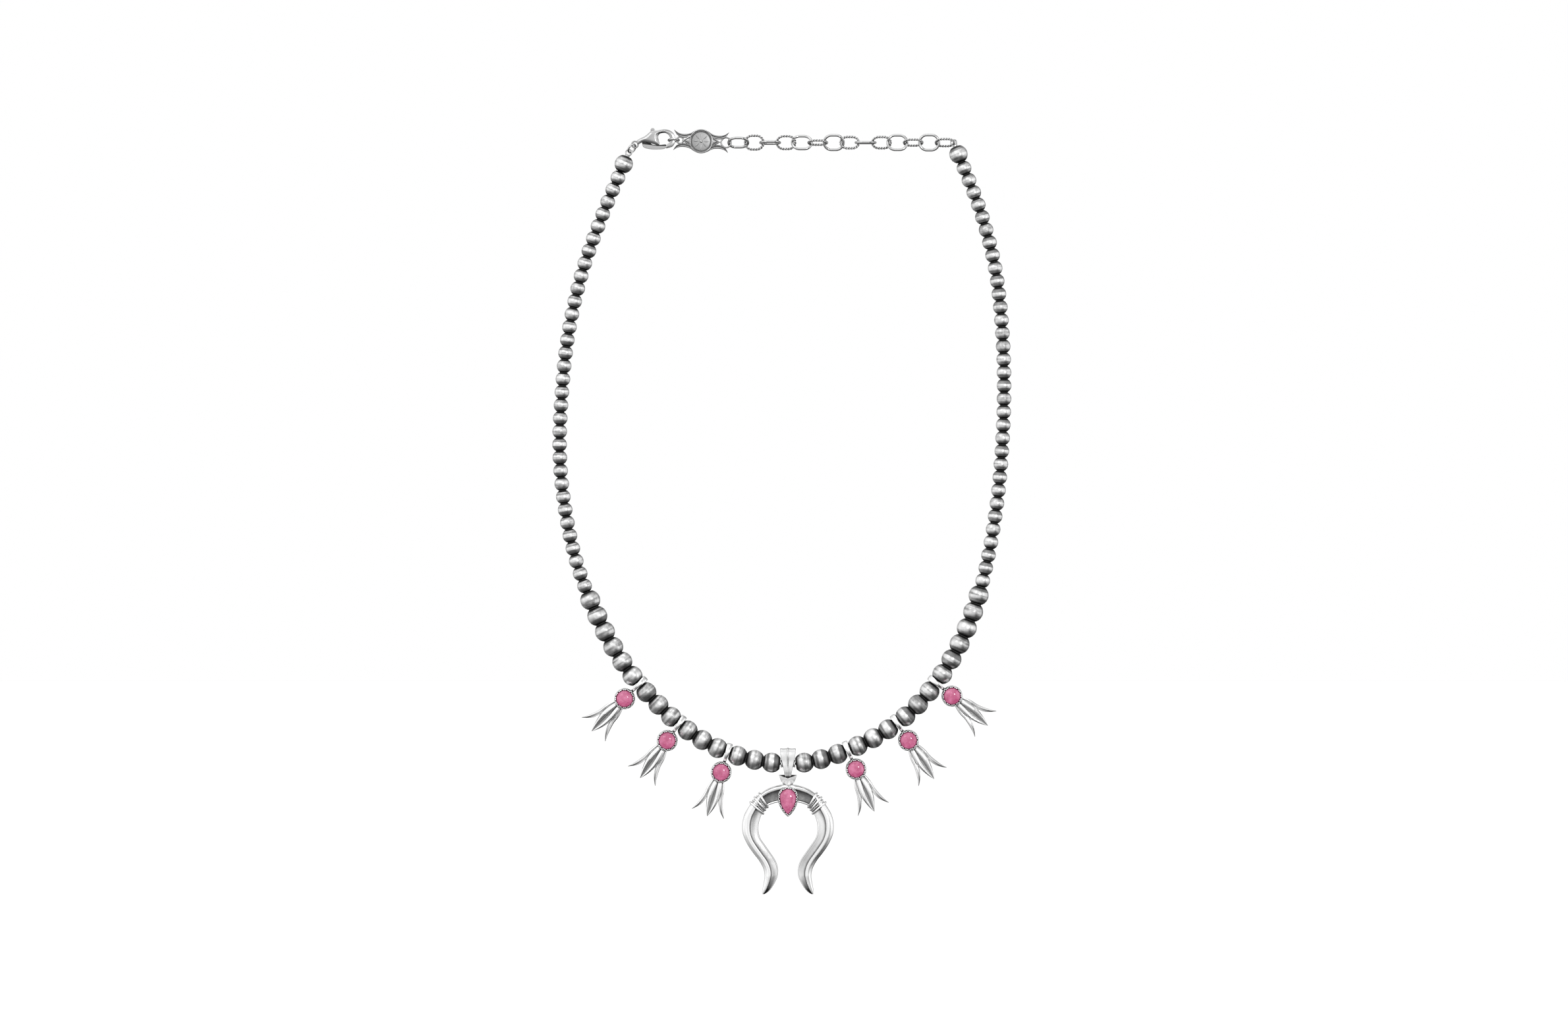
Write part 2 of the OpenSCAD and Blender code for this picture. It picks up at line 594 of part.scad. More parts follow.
// A ridged leaf from rows of [u, v, half width, thickness], u along X and v along Z
module leaf(rows, y) {
    fine_rows = curve(rows, 3);
    path = [for (r = fine_rows) [r[0], y, r[1]]];
    skin([for (i = [0:len(path) - 1])
        section(path[i], across(path, i), fine_rows[i][2], fine_rows[i][3], RIDGED)]);
}
module petals() {
    leaf([for (r = BUD) [from_bezel(r[0], BUD, bud_l, bud_root), 0, r[1] * bud_w, r[2] * petal_t]],
        petal_y);
    for (side = [-1, 1])
        leaf([for (r = SEPAL)
            [from_bezel(r[0], SEPAL, sepal_l, sepal_root), side * r[1] * sepal_out, r[2] * sepal_w,
             r[3] * sepal_t]], petal_y + sepal_back);
}

// Bail round the thread: the wide part lies inside the loop, the narrow end meets the bezel
bead_beside = (bail_space + large_gap + large_len) / 2;
swing_room = 0.3;
bail_r = sqrt(pow(large_bead_d / 2, 2) - pow(bead_beside - bail_top_w / 2 - swing_room, 2)) + bail_clear;
module blossom_bail() {
    around = 28;
    reach = drop_l - bezel_r + bezel_wall;
    skin([for (i = [0:around - 1])
        let (a = 360 * i / around, c = cos(a), in = [c * bail_r, sin(a) * bail_r, 0],
             out_r = bail_r + bail_t + max(0, reach - bail_r - bail_t) * pow(max(0, c), 6),
             out = [c * out_r, sin(a) * out_r, 0], w = mix(bail_top_w, bail_end_w, (1 + c) / 2) / 2)
        [in + [0, 0, w], in - [0, 0, w], out - [0, 0, w], out + [0, 0, w]]], looped = true);
}

// Turn of each blossom about its bail, from the upper one down, away from the strand's own square
SWINGS = [[-4, -4, -4], [3, 3, -1]];
module on_bail(side, k) {
    s = side == "left" ? 0 : 1;
    bails = places("bail", side);
    on_string(bails[s == 0 ? k - 1 : len(bails) - k]) rotate([0, SWINGS[s][k - 1], 0]) children();
}
module blossom(side, k) {
    color(steel) on_bail(side, k) union() {
        blossom_bail();
        translate([drop_l, 0, 0]) {
            toothed_bezel();
            petals();
        }
    }
}
module round_stone(side, k) {
    color(pink) on_bail(side, k) translate([drop_l, 0, 0])
        domed(stone_back, girdle_y, stone_dome, stone_r) circle(r = stone_r, $fn = fine);
}

// Half of the crescent: outer x, outer z, inner x and inner z, in shares of half its width and of its height
CRESCENT = [
    [0, 0, 0, 0.159], [0.16, 0.005, 0.12, 0.161], [0.317, 0.0216, 0.23, 0.168], [0.47, 0.048, 0.35, 0.181],
    [0.62, 0.093, 0.46, 0.203], [0.745, 0.143, 0.53, 0.24], [0.86, 0.208, 0.583, 0.287],
    [0.955, 0.28, 0.617, 0.327], [0.998, 0.365, 0.638, 0.374], [0.985, 0.45, 0.636, 0.43],
    [0.92, 0.52, 0.6, 0.49], [0.845, 0.576, 0.495, 0.555], [0.75, 0.632, 0.385, 0.62],
    [0.642, 0.69, 0.288, 0.68], [0.567, 0.742, 0.234, 0.73], [0.523, 0.79, 0.21, 0.78],
    [0.51, 0.84, 0.22, 0.83], [0.528, 0.89, 0.262, 0.88], [0.55, 0.94, 0.345, 0.94],
    [0.563, 0.975, 0.43, 0.98], [0.558, 1, 0.51, 1]
];
// Front ridge nearer the outer edge, hollow inner facet
CRESCENT_SECTION = [
    [0.2, -0.6], [-0.25, -0.36], [-0.85, -0.18], [-1, 0.05], [-0.7, 0.36], [0.7, 0.36], [1, 0.05], [0.8, -0.3]
];
// Rows of the crescent where the wire bands lie
band_rows = [3.95, 5.45];
// Set-back of the crescent that brings the pendant's weight under the thread
set_back = 0.25;
naja_at = (KNOTS[last + 1] + KNOTS[last + 2]) / 2;
function crescent_edges(r, side) =
    let (k = min(floor(r), len(CRESCENT) - 2), e = curve_at(CRESCENT, k, r - k))
    [for (k = [0, 2]) [side * e[k] * naja_w / 2, 0, -naja_drop - e[k + 1] * naja_h]];
function crescent_ring(r, side, grow, t, shape) =
    let (e = crescent_edges(r, side), half = (e[0] - e[1]) / 2)
    [for (s = shape) (e[0] + e[1]) / 2 + half * (s[0] * grow) + [0, set_back + s[1] * t, 0]];
function tip_fade(r) = let (n = len(CRESCENT) - 1) mix(0.35, 1, min(1, (n - r) / 4));
module crescent() {
    n = len(CRESCENT) - 1;
    rings = concat(
        [for (r = [n:-0.5:0.5]) crescent_ring(r, 1, 1, naja_t * tip_fade(r), CRESCENT_SECTION)],
        [for (r = [0:0.5:n]) crescent_ring(r, -1, 1, naja_t * tip_fade(r), CRESCENT_SECTION)]);
    skin(rings);
}
round_section = [for (a = [0:30:330]) [cos(a), 0.62 * sin(a)]];
module wire_bands(side) {
    steps = 12;
    rows = side > 0 ? band_rows : [band_rows[1], band_rows[0]];
    skin([for (i = [0:steps])
        let (r = mix(rows[0], rows[1], i / steps), swell = 1.06 + 0.14 * abs(sin(540 * i / steps)))
        crescent_ring(r, side, swell, naja_t * swell, round_section)]);
}

// Bail of the pendant from the side: depth and height of its inner face in shares of its rise, then its width
NAJA_BAIL = [
    [-0.05, -1.17, -0.25], [-0.12, -0.8, 0], [-0.2, -0.5, 0.18], [-0.24, -0.15, 0.4], [-0.245, 0.2, 0.62],
    [-0.28, 0.55, 0.85], [-0.25, 0.82, 0.96], [-0.14, 0.96, 1], [0, 1, 1]
];
// Its section, with a ridge: shares of the half width across and of the thickness outwards
BAIL_SECTION = [[-1, 0], [1, 0], [0.92, 0.6], [0.4, 0.45], [0, 1], [-0.4, 0.45], [-0.92, 0.6]];
module naja_bail() {
    rise = naja_bail_rise - naja_bail_t;
    rows = [for (p = NAJA_BAIL) [p[0] * rise, p[1] * rise, mix(naja_bail_end_w, naja_bail_w, p[2])]];
    half = curve(rows, 2);
    n = len(half) - 1;
    whole = concat(half, [for (i = [n - 1:-1:0]) [-half[i][0], half[i][1], half[i][2]]]);
    skin([for (i = [0:len(whole) - 1])
        let (p = whole[i], out = flat_across(whole, i))
        [for (s = BAIL_SECTION) [s[0] * p[2] / 2, p[0], p[1]] + [0, out[0], out[1]] * (s[1] * naja_bail_t)]]);
}
cup_wall = 0.35;
// Width of the cup at its bend and at its foot, and height of the bend, in shares of its width and height
cup_bend = [0.72, 0.45];
cup_foot = 0.3;
// Slope of the rim down to the front corner, in degrees
cup_slope = 22;
// Depth of the bail's foot under the cup's hollow
bail_seat = 0.1;
module cup() {
    hollow = cup_top - NAJA_BAIL[0][1] * (naja_bail_rise - naja_bail_t) - bail_seat;
    bend = cup_bend[1] * cup_h;
    r = cup_w / 2;
    difference() {
        translate([0, 0, cup_top - cup_h]) union() {
            cylinder(r1 = cup_foot * r, r2 = cup_bend[0] * r, h = bend, $fn = 4);
            translate([0, 0, bend]) cylinder(r1 = cup_bend[0] * r, r2 = r, h = cup_h - bend, $fn = 4);
        }
        translate([0, 0, cup_top - hollow]) cylinder(r1 = 0, r2 = r - cup_wall, h = hollow, $fn = 4);
        translate([0, 0, cup_top]) rotate([cup_slope, 0, 0]) translate([-cup_w, -cup_w, 0])
            cube([2 * cup_w, cup_w, cup_h]);
    }
}

// Pear outline, its round end up: a half circle and two wider arcs that meet in the tip
pear_r = pear_w / 2;
pear_reach = pear_h - pear_r;
pear_side_r = (pear_reach * pear_reach + pear_r * pear_r) / (2 * pear_r);
// Depth of the pear's round end under the top of the arch
pear_low = 1.3;
pear_z = -naja_drop - pear_low - pear_r;
// The cup stands on the wall of the pear's bezel
cup_top = pear_z + pear_r + stone_clear + bezel_wall / 2 + cup_h;
pear_floor = -1;
pear_rim = -3.1;
pear_girdle = pear_rim + 0.6;
function pear_points(by) =
    let (r = pear_side_r + by, shift = pear_side_r - pear_r, sweep = acos(shift / r))
    concat(
        [for (a = [0:10:180]) (pear_r + by) * [cos(a), sin(a)]],
        [for (k = [1:8]) [shift - r * cos(sweep * k / 8), -r * sin(sweep * k / 8)]],
        [for (k = [7:-1:1]) [r * cos(sweep * k / 8) - shift, -r * sin(sweep * k / 8)]]);
module in_naja() {
    translate(naja_at) children();
}
module naja() {
    bezel = stone_clear + bezel_wall;
    color(steel) in_naja() difference() {
        union() {
            crescent();
            for (side = [-1, 1]) wire_bands(side);
            naja_bail();
            cup();
            rotate([0, 90, 0]) cylinder(d = sleeve_d, h = sleeve_l, center = true, $fn = fine);
            translate([0, 0, pear_z]) rotate([90, 0, 0]) linear_extrude(-pear_rim) intersection() {
                polygon(pear_points(bezel));
                circle(r = pear_reach + bezel, $fn = fine);
            }
        }
        translate([0, pear_floor, pear_z]) rotate([90, 0, 0])
            linear_extrude(pear_floor - pear_rim + past) polygon(pear_points(stone_clear));
        rotate([0, 90, 0]) cylinder(r = hole_r, h = sleeve_l + past, center = true, $fn = fine);
    }
}
module pear_stone() {
    color(pink) in_naja() translate([0, 0, pear_z])
        domed(pear_floor - seat_t, pear_girdle, pear_dome, pear_reach) polygon(pear_points(0));
}

thread();
for (side = SIDES) {
    beads("small", side, small_bead_d, small_face_d);
    beads("large", side, large_bead_d, large_face_d);
    beads("end", side, end_bead_d, end_face_d);
    for (k = [1:3]) {
        blossom(side, k);
        round_stone(side, k);
    }
}
eye_left();  // end_eye_left
eye_right();  // end_eye_right
clasp_ring();
clasp_body();
clasp_lever();
jump_ring();
tag();
naja();
pear_stone();
for (k = [1:link_pairs]) {
    links("smooth", k);
    links("twisted", k);
}
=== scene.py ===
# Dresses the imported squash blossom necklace: beads, blossoms, crescent, clasp, tag and chain in aged silver.
# Lengths are in metres, named sizes in millimetres through mm.
import bpy
import random
from math import acos, atan2, cos, dist, hypot, pi, radians, sin, sqrt
from mathutils import Matrix, Vector, kdtree


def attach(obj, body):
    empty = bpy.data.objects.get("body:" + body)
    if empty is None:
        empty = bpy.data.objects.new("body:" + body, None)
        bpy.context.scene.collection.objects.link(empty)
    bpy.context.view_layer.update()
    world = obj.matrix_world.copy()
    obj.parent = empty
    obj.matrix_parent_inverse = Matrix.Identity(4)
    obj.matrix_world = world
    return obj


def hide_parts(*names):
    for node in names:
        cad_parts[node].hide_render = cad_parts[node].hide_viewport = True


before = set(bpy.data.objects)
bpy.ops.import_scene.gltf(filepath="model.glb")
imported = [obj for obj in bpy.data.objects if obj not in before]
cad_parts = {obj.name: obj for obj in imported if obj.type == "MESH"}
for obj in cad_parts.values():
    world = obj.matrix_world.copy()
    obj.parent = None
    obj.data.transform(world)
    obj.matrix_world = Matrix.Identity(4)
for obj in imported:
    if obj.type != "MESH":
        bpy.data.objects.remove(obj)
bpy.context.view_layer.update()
mm = 0.001
# Points nearer than this are made one
WELD = 0.0002 * mm
LOOP_WIRE_R = 0.25
random.seed(7)

# ---------- the string, laid out as the solids lie

# Diameter and flat end of each kind of bead, and the gaps that the thread shows between them
SMALL, LARGE, END = (4.5, 2.5), (6.1, 3.6), (5.6, 2.8)
SMALL_GAP, LARGE_GAP, SMALL_COUNT = 0.24, 0.36, 33
EYE_REACH, BAIL_SPACE, SLEEVE_L, SLEEVE_CLEAR = 1.4, 1.25, 4.4, 0.3
EYE_LEFT, EYE_RIGHT = Vector((-48.5435, 0, -3.0921)), Vector((50.1221, 0, -0.0978))
SPAN = EYE_RIGHT.x - EYE_LEFT.x
# The middle of the clasp's tail loop
TAIL = Vector((-46.6473, 0, -0.665))
# How far each blossom is turned from the thread, in degrees, from the top down
SWINGS = {"left": (-4, -4, -4), "right": (3, 3, -1)}
# The neckline, in shares of the span and of its depth
ROUTE = [
    (-0.492, 0), (-0.52, 0.035), (-0.575, 0.105), (-0.635, 0.195), (-0.679, 0.3), (-0.7, 0.41),
    (-0.704, 0.5), (-0.686, 0.59), (-0.65, 0.675), (-0.59, 0.757), (-0.51, 0.835), (-0.415, 0.896),
    (-0.3, 0.95), (-0.178, 0.984), (-0.06, 0.998), (0, 1), (0.06, 0.998),
    (0.165, 0.982), (0.285, 0.952), (0.385, 0.912), (0.477, 0.853), (0.55, 0.78), (0.6, 0.7),
    (0.636, 0.6), (0.655, 0.505), (0.663, 0.4), (0.657, 0.3), (0.635, 0.2), (0.59, 0.11),
    (0.535, 0.035), (0.508, 0)]


def mix(a, b, t):
    return a + (b - a) * t


def through(a, b, c, d, t):
    return (2 * b + (c - a) * t + (2 * a - 5 * b + 4 * c - d) * t * t + (3 * b - a - 3 * c + d) * t ** 3) / 2


def curve(points, steps, closed=False):
    """A smooth run through rows of numbers, with steps between each two."""
    n, run = len(points), []
    for i in range(n if closed else n - 1):
        four = [points[j % n if closed else max(0, min(j, n - 1))] for j in range(i - 1, i + 3)]
        run += [tuple(through(*v, k / steps) for v in zip(*four)) for k in range(steps)]
    return run if closed else run + [tuple(points[-1])]


def mirror(rows):
    """Rows of (sideways, more numbers) turned to the other side, the last one first."""
    return [(-s, *rest) for s, *rest in rows[::-1]]


def mixed(rows, others, t):
    return [tuple(mix(a, b, t) for a, b in zip(*pair)) for pair in zip(rows, others)]


def running(points):
    """How long a run is up to each of its points."""
    runs = [0.0]
    for a, b in zip(points, points[1:]):
        runs.append(runs[-1] + dist(a, b))
    return runs


def between(marks, at):
    """The last of the rising marks before at, and the share of the way from it to the next."""
    i = max(k for k in range(len(marks) - 1) if marks[k] <= at + 1e-9)
    return i, (at - marks[i]) / (marks[i + 1] - marks[i])


def read(table, at):
    """Straight between rows of (mark, value)."""
    i, t = between([row[0] for row in table], at)
    return mix(table[i][1], table[i + 1][1], t)


def bead_len(size):
    """How much of the string a bead of (diameter, end face) takes up."""
    return 2 * sqrt((size[0] / 2) ** 2 - (size[1] / 2) ** 2)


def half_string():
    run = [("eye", EYE_REACH - SMALL_GAP / 2), ("end", bead_len(END) + SMALL_GAP)]
    run += [("small", bead_len(SMALL) + SMALL_GAP)] * SMALL_COUNT
    for group, count in enumerate((6, 3, 3, 3)):
        run += [("large", bead_len(LARGE) + LARGE_GAP)] * count
        run += [("bail", BAIL_SPACE)] * (group < 3)
    return run


def lay_string():
    """Kinds of the pieces on the string, and the points of the thread between them."""
    run = half_string()
    string = run + [("naja", SLEEVE_L + 2 * SLEEVE_CLEAR - LARGE_GAP)] + run[::-1]
    total = sum(length for _, length in string)
    shape = curve(ROUTE, 8)

    def laid(depth):
        path = [Vector((x * SPAN, 0, mix(EYE_LEFT.z if x < 0 else EYE_RIGHT.z, -depth, z))) for x, z in shape]
        return path, running(path)

    # The depth at which the route is as long as what lies on it
    low, high = SPAN / 2, total / 2
    for _ in range(30):
        depth = (low + high) / 2
        low, high = (depth, high) if laid(depth)[1][-1] < total else (low, depth)
    path, runs = laid((low + high) / 2)
    knots, at = [], 0.0
    for length in [0.0] + [length for _, length in string]:
        at = min(at + length, runs[-1])
        i, t = between(runs, at)
        knots.append(path[i].lerp(path[i + 1], t))
    return [kind for kind, _ in string], knots


KINDS, KNOTS = lay_string()
HALF = len(KINDS) // 2


def places(kind, side):
    return [i for i, k in enumerate(KINDS) if k == kind and (i < HALF) == (side == "left")]


def heading(a, b):
    return atan2(b.x - a.x, b.z - a.z)


def seat(at, angle=0.0, axis="Y"):
    """A place at a point in millimetres, turned by an angle."""
    return Matrix.Translation(Vector(at) * mm) @ Matrix.Rotation(angle, 4, axis)


def on_string(i, turn=0.0):
    """Where piece i lies: Z along the thread, X outwards from the loop."""
    a, b = KNOTS[i], KNOTS[i + 1]
    return seat((a + b) / 2, heading(a, b) + radians(turn))


NAJA_AT = (KNOTS[HALF] + KNOTS[HALF + 1]) / 2

# ---------- modelling helpers


def start(piece=None):
    """Leaves edit mode, with nothing selected but the piece if one is given."""
    if bpy.context.mode != "OBJECT":
        bpy.ops.object.mode_set(mode="OBJECT")
    bpy.ops.object.select_all(action="DESELECT")
    if piece:
        piece.select_set(True)
        bpy.context.view_layer.objects.active = piece


def edit(piece):
    """Opens a piece for modelling with all of it selected."""
    start(piece)
    bpy.ops.object.mode_set(mode="EDIT")
    bpy.ops.mesh.select_mode(type="VERT")
    bpy.ops.mesh.select_all(action="SELECT")


def select_faces(piece, wanted):
    """Selects the faces whose centre and normal are wanted, and leaves the piece open."""
    bpy.ops.object.mode_set(mode="OBJECT")
    for item in (*piece.data.vertices, *piece.data.edges):
        item.select = False
    for f in piece.data.polygons:
        f.select = wanted(f.center, f.normal)
    bpy.ops.object.mode_set(mode="EDIT")
    bpy.ops.mesh.select_mode(type="FACE")


def close(piece, name, smooth):
    """Ends the modelling of a piece; faces that meet at less than smooth degrees are shaded as one."""
    start(piece)
    piece.name = piece.data.name = name
    if smooth:
        bpy.ops.object.shade_smooth_by_angle(angle=radians(smooth))
    return piece


def apply_modifier(piece, kind, **values):
    start(piece)
    m = piece.modifiers.new(kind.title(), kind)
    for key, value in values.items():
        setattr(m, key, value)
    bpy.ops.object.modifier_apply(modifier=m.name)
    return piece


def round_edges(piece, width, segments=2, angle=28):
    return apply_modifier(piece, "BEVEL", width=width, segments=segments, limit_method="ANGLE",
                          angle_limit=radians(angle))


def own_coordinates(piece, tone=0.0, unit=mm):
    """Keeps each point's place on its own piece, for patterns that follow it when it is turned."""
    own = piece.data.attributes.new("own", "FLOAT_VECTOR", "POINT")
    for item, v in zip(own.data, piece.data.vertices):
        item.vector = v.co / unit
    for item in piece.data.attributes.new("tone", "FLOAT", "POINT").data:
        item.value = tone
    return piece


def copied(piece, name, place, tone=None):
    """A copy with its own mesh, its place put in the mesh."""
    new = bpy.data.objects.new(name, piece.data.copy())
    bpy.context.scene.collection.objects.link(new)
    new.data.transform(place)
    if tone is not None:
        for item in new.data.attributes["tone"].data:
            item.value = tone
    return new


def joined(pieces, name):
    start(pieces[0])
    for p in pieces[1:]:
        p.select_set(True)
    bpy.ops.object.join()
    piece = bpy.context.view_layer.objects.active
    piece.name = piece.data.name = name
    return piece


def move(piece, at, angle=0.0):
    piece.data.transform(seat(at, angle))
    return piece


def drop(piece):
    bpy.data.objects.remove(piece, do_unlink=True)


def lofted(name, rings, closed=False, dark=None, smooth=38):
    """Skins rings of points (mm) with equal counts; closed joins the last ring to the first.

    dark(ring, point) is how much shade is painted there.
    """
    start()
    m, n = len(rings[0]), len(rings)
    rows = n if closed else n - 1
    bpy.ops.mesh.primitive_grid_add(x_subdivisions=m, y_subdivisions=rows, size=2)
    piece = bpy.context.object
    shade = piece.data.attributes.new("dark", "FLOAT", "POINT")
    for k, v in enumerate(piece.data.vertices):
        i = round((v.co.x + 1) / 2 * m) % m
        j = round((v.co.y + 1) / 2 * rows) % n
        v.co = [c * mm for c in rings[j][i]]
        shade.data[k].value = dark(j, i) if dark else 0.0
    edit(piece)
    bpy.ops.mesh.remove_doubles(threshold=WELD)
    bpy.ops.mesh.fill_holes(sides=0)
    bpy.ops.mesh.select_all(action="SELECT")
    bpy.ops.mesh.normals_make_consistent(inside=False)
    return close(piece, name, smooth)


def circle(r, steps, h=0.0):
    """Points round the Z axis."""
    return [(r * cos(2 * pi * k / steps), r * sin(2 * pi * k / steps), h) for k in range(steps)]


def wheel(r, steps, y=0.0):
    """The same round the Y axis."""
    return [(x, y, z) for x, z, _ in circle(r, steps)]


def turned(name, outline, steps, closed=False):
    """A lathe-turned piece round Z from an outline of (radius, height)."""
    return lofted(name, [circle(r, steps, h) for r, h in outline], closed)


def swept(name, path, normal, section, closed=True, smooth=60):
    """Draws a section along a path; section(i) gives rows of (sideways, along the normal)."""
    rings, n = [], len(path)
    path, normal = [Vector(q) for q in path], Vector(normal)
    for i, q in enumerate(path):
        a = path[i - 1] if i or closed else q
        b = path[(i + 1) % n] if closed or i < n - 1 else q
        side = (b - a).normalized().cross(normal).normalized()
        up = side.cross((b - a).normalized())
        rings.append([q + side * u + up * w for u, w in section(i)])
    return lofted(name, rings, closed, smooth=smooth)


def round_wire(r, lobes):
    ring = [(x, y) for x, y, _ in circle(r, lobes)]
    return lambda i: ring


def wire_loop(name, r, at):
    """A thin ring of wire that lies in the XZ plane round a point."""
    return swept(name, [Vector(at) + Vector(p) for p in wheel(r, 40)], (0, 1, 0), round_wire(LOOP_WIRE_R, 12))


def bezelled(name, outline, layers, smooth=32):
    """A cup from an outline grown by each layer's first number, at its second number in depth."""
    return lofted(name, [[(x, y, z) for x, z in outline(by)] for by, y in layers], smooth=smooth)


def cabochon(name, outline, back, girdle, dome, centre=(0, 0), tone=0.0):
    """A flat-backed polished stone with a round-shouldered dome towards the front."""
    layers = [(0.02, back), (0.93, back), (1, back - 0.15), (1, girdle)]
    layers += [(cos(a) ** 0.85, girdle - dome * sin(a)) for a in (radians(7.5 * k) for k in range(1, 12))]
    layers += [(0.02, girdle - dome)]
    shape = outline(0)
    piece = lofted(name, [[(mix(centre[0], x, k), y, mix(centre[1], z, k)) for x, z in shape] for k, y in layers],
                   smooth=50)
    return own_coordinates(piece, tone)


def made_of(piece, material):
    piece.data.materials.clear()
    piece.data.materials.append(material)
    return piece


def dressed(piece, material, slot, *nodes, body="strand"):
    """A finished piece: its material and body, and the nodes that it stands for. The slot is not used."""
    made_of(piece, material)
    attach(piece, body)
    if nodes:
        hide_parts(*nodes)
    return piece


# ---------- finishes


def grey(v):
    return (v, v, v, 1)


class Graph:
    """The nodes of a shader, with the few sums that the finishes need."""

    def __init__(self, tree):
        self.tree = tree

    def feed(self, socket, value):
        """Gives a socket a fixed value or another node's output."""
        if isinstance(value, bpy.types.NodeSocket):
            self.tree.links.new(value, socket)
        else:
            socket.default_value = value

    def add(self, kind, inputs=(), **settings):
        """The outputs of a new node; inputs are pairs of (its socket, what goes in)."""
        new = self.tree.nodes.new("ShaderNode" + kind)
        for key, value in settings.items():
            setattr(new, key, value)
        for key, value in inputs:
            self.feed(new.inputs[key], value)
        return new.outputs

    def math(self, operation, a, b=0.0, clamp=False):
        return self.add("Math", enumerate((a, b)), operation=operation, use_clamp=clamp)[0]

    def plus(self, a, b):
        return self.math("ADD", a, b)

    def minus(self, a, b):
        return self.math("SUBTRACT", a, b)

    def times(self, a, b, clamp=False):
        return self.math("MULTIPLY", a, b, clamp)

    def spread(self, value, low, high, to_low=0.0, to_high=1.0):
        """Goes softly from to_low where the value is low to to_high where it is high."""
        given = enumerate((value, low, high, to_low, to_high))
        return self.add("MapRange", given, interpolation_type="SMOOTHSTEP")[0]

    def blended(self, factor, a, b):
        return self.add("Mix", ((0, factor), (6, a), (7, b)), data_type="RGBA")[2]

    def noise(self, vector, scale, detail=3.0, rough=0.55):
        given = (("Vector", vector), ("Scale", scale), ("Detail", detail), ("Roughness", rough))
        return self.add("TexNoise", given)["Fac"]

    def worn_normal(self, vector, along, scale, strength, depth):
        """A normal that carries the hairlines."""
        lines = self.add("Group", (("Vector", vector), ("Along", along), ("Scale", scale)), node_tree=HAIRLINES)
        return self.add("Bump", (("Strength", strength), ("Distance", depth), ("Height", lines["Height"])))["Normal"]

    def vectors(self, operation, a, b):
        return self.add("VectorMath", enumerate((a, b)), operation=operation)[0]

    def stretched(self, vector, scale):
        return self.vectors("MULTIPLY", vector, scale)

    def attribute(self, name, output="Fac"):
        return self.add("Attribute", attribute_name=name)[output]

    def shifted(self, way):
        """The piece's own coordinates, moved by its tone so that no two pieces are marked alike."""
        return self.vectors("ADD", self.attribute("own", "Vector"), self.stretched(self.attribute("tone"), way))

    def object_vector(self):
        """Object coordinates, in millimetres."""
        return self.stretched(self.add("TexCoord")["Object"], (1 / mm,) * 3)


class Finish(Graph):
    """A material, and what goes into its main shader."""

    def __init__(self, name, **values):
        self.made = bpy.data.materials.new(name)
        self.made.use_nodes = True
        super().__init__(self.made.node_tree)
        self.give(**values)

    def give(self, **values):
        for key, value in values.items():
            self.feed(self.tree.nodes["Principled BSDF"].inputs[key.replace("_", " ")], value)
        return self.made


def new_group(name, inputs, outputs):
    """A shared effect: its graph, what it is given and what it puts out, by their names."""
    tree = bpy.data.node_groups.new(name, "ShaderNodeTree")
    for way, sockets in (("INPUT", inputs), ("OUTPUT", outputs)):
        for title, kind in sockets:
            tree.interface.new_socket(title, in_out=way, socket_type="NodeSocket" + kind)
    return Graph(tree), tree.nodes.new("NodeGroupInput").outputs, tree.nodes.new("NodeGroupOutput").inputs


def tarnish_group():
    """Dark sulphide in the recesses, buffed off the high places, with shade painted where the piece's dark attribute
    asks for it.
    """
    g, given, out = new_group("Tarnish and Shade", (
        ("Vector", "Vector"), ("Bright", "Color"), ("Dark", "Color"), ("Amount", "Float"), ("Polish", "Float"),
        ("Painted Shade", "Float")), (("Color", "Color"), ("Roughness", "Float")))
    clouds = g.noise(given["Vector"], 1.3)
    hollow = g.add("AmbientOcclusion", [("Distance", 0.7 * mm)], samples=6)["AO"]
    recess = g.times(g.spread(g.plus(hollow, g.times(clouds, 0.16)), 0.86, 0.34), given["Amount"], clamp=True)
    # left is the painted shade from the dark attribute; from here recess holds the tarnish and the painted shade
    # together
    left = g.times(given["Painted Shade"], g.spread(clouds, 0.2, 0.7, 1.0, 1.12), clamp=True)
    recess = g.math("MAXIMUM", recess, left)
    rough = g.plus(g.plus(given["Polish"], g.times(recess, 0.34)), g.times(g.minus(clouds, 0.5), 0.12))
    g.feed(out["Color"], g.blended(recess, given["Bright"], given["Dark"]))
    g.feed(out["Roughness"], rough)
    return g.tree


def hairline_group():
    """Hairline marks of polishing and wear, as a height."""
    g, given, out = new_group("Hairlines", (("Vector", "Vector"), ("Along", "Vector"), ("Scale", "Float")),
                              [("Height", "Float")])
    g.feed(out["Height"], g.noise(g.stretched(given["Vector"], given["Along"]), given["Scale"], 4.0, 0.5))
    return g.tree


TARNISH_AND_SHADE, HAIRLINES = tarnish_group(), hairline_group()


def silver(name, bright, dark, polish, scale, strength, amount=1.0):
    """Aged silver, dark in its recesses, with painted shade where the piece's dark attribute says so."""
    g = Finish(name, Metallic=1.0)
    place = g.object_vector()
    wear = g.add("Group", (
        ("Vector", place), ("Bright", grey(bright)), ("Dark", grey(dark)), ("Amount", amount), ("Polish", polish),
        ("Painted Shade", g.attribute("dark"))), node_tree=TARNISH_AND_SHADE)
    return g.give(Base_Color=wear["Color"], Roughness=wear["Roughness"],
                  Normal=g.worn_normal(place, (1, 1, 1), scale, strength, 0.04 * mm))


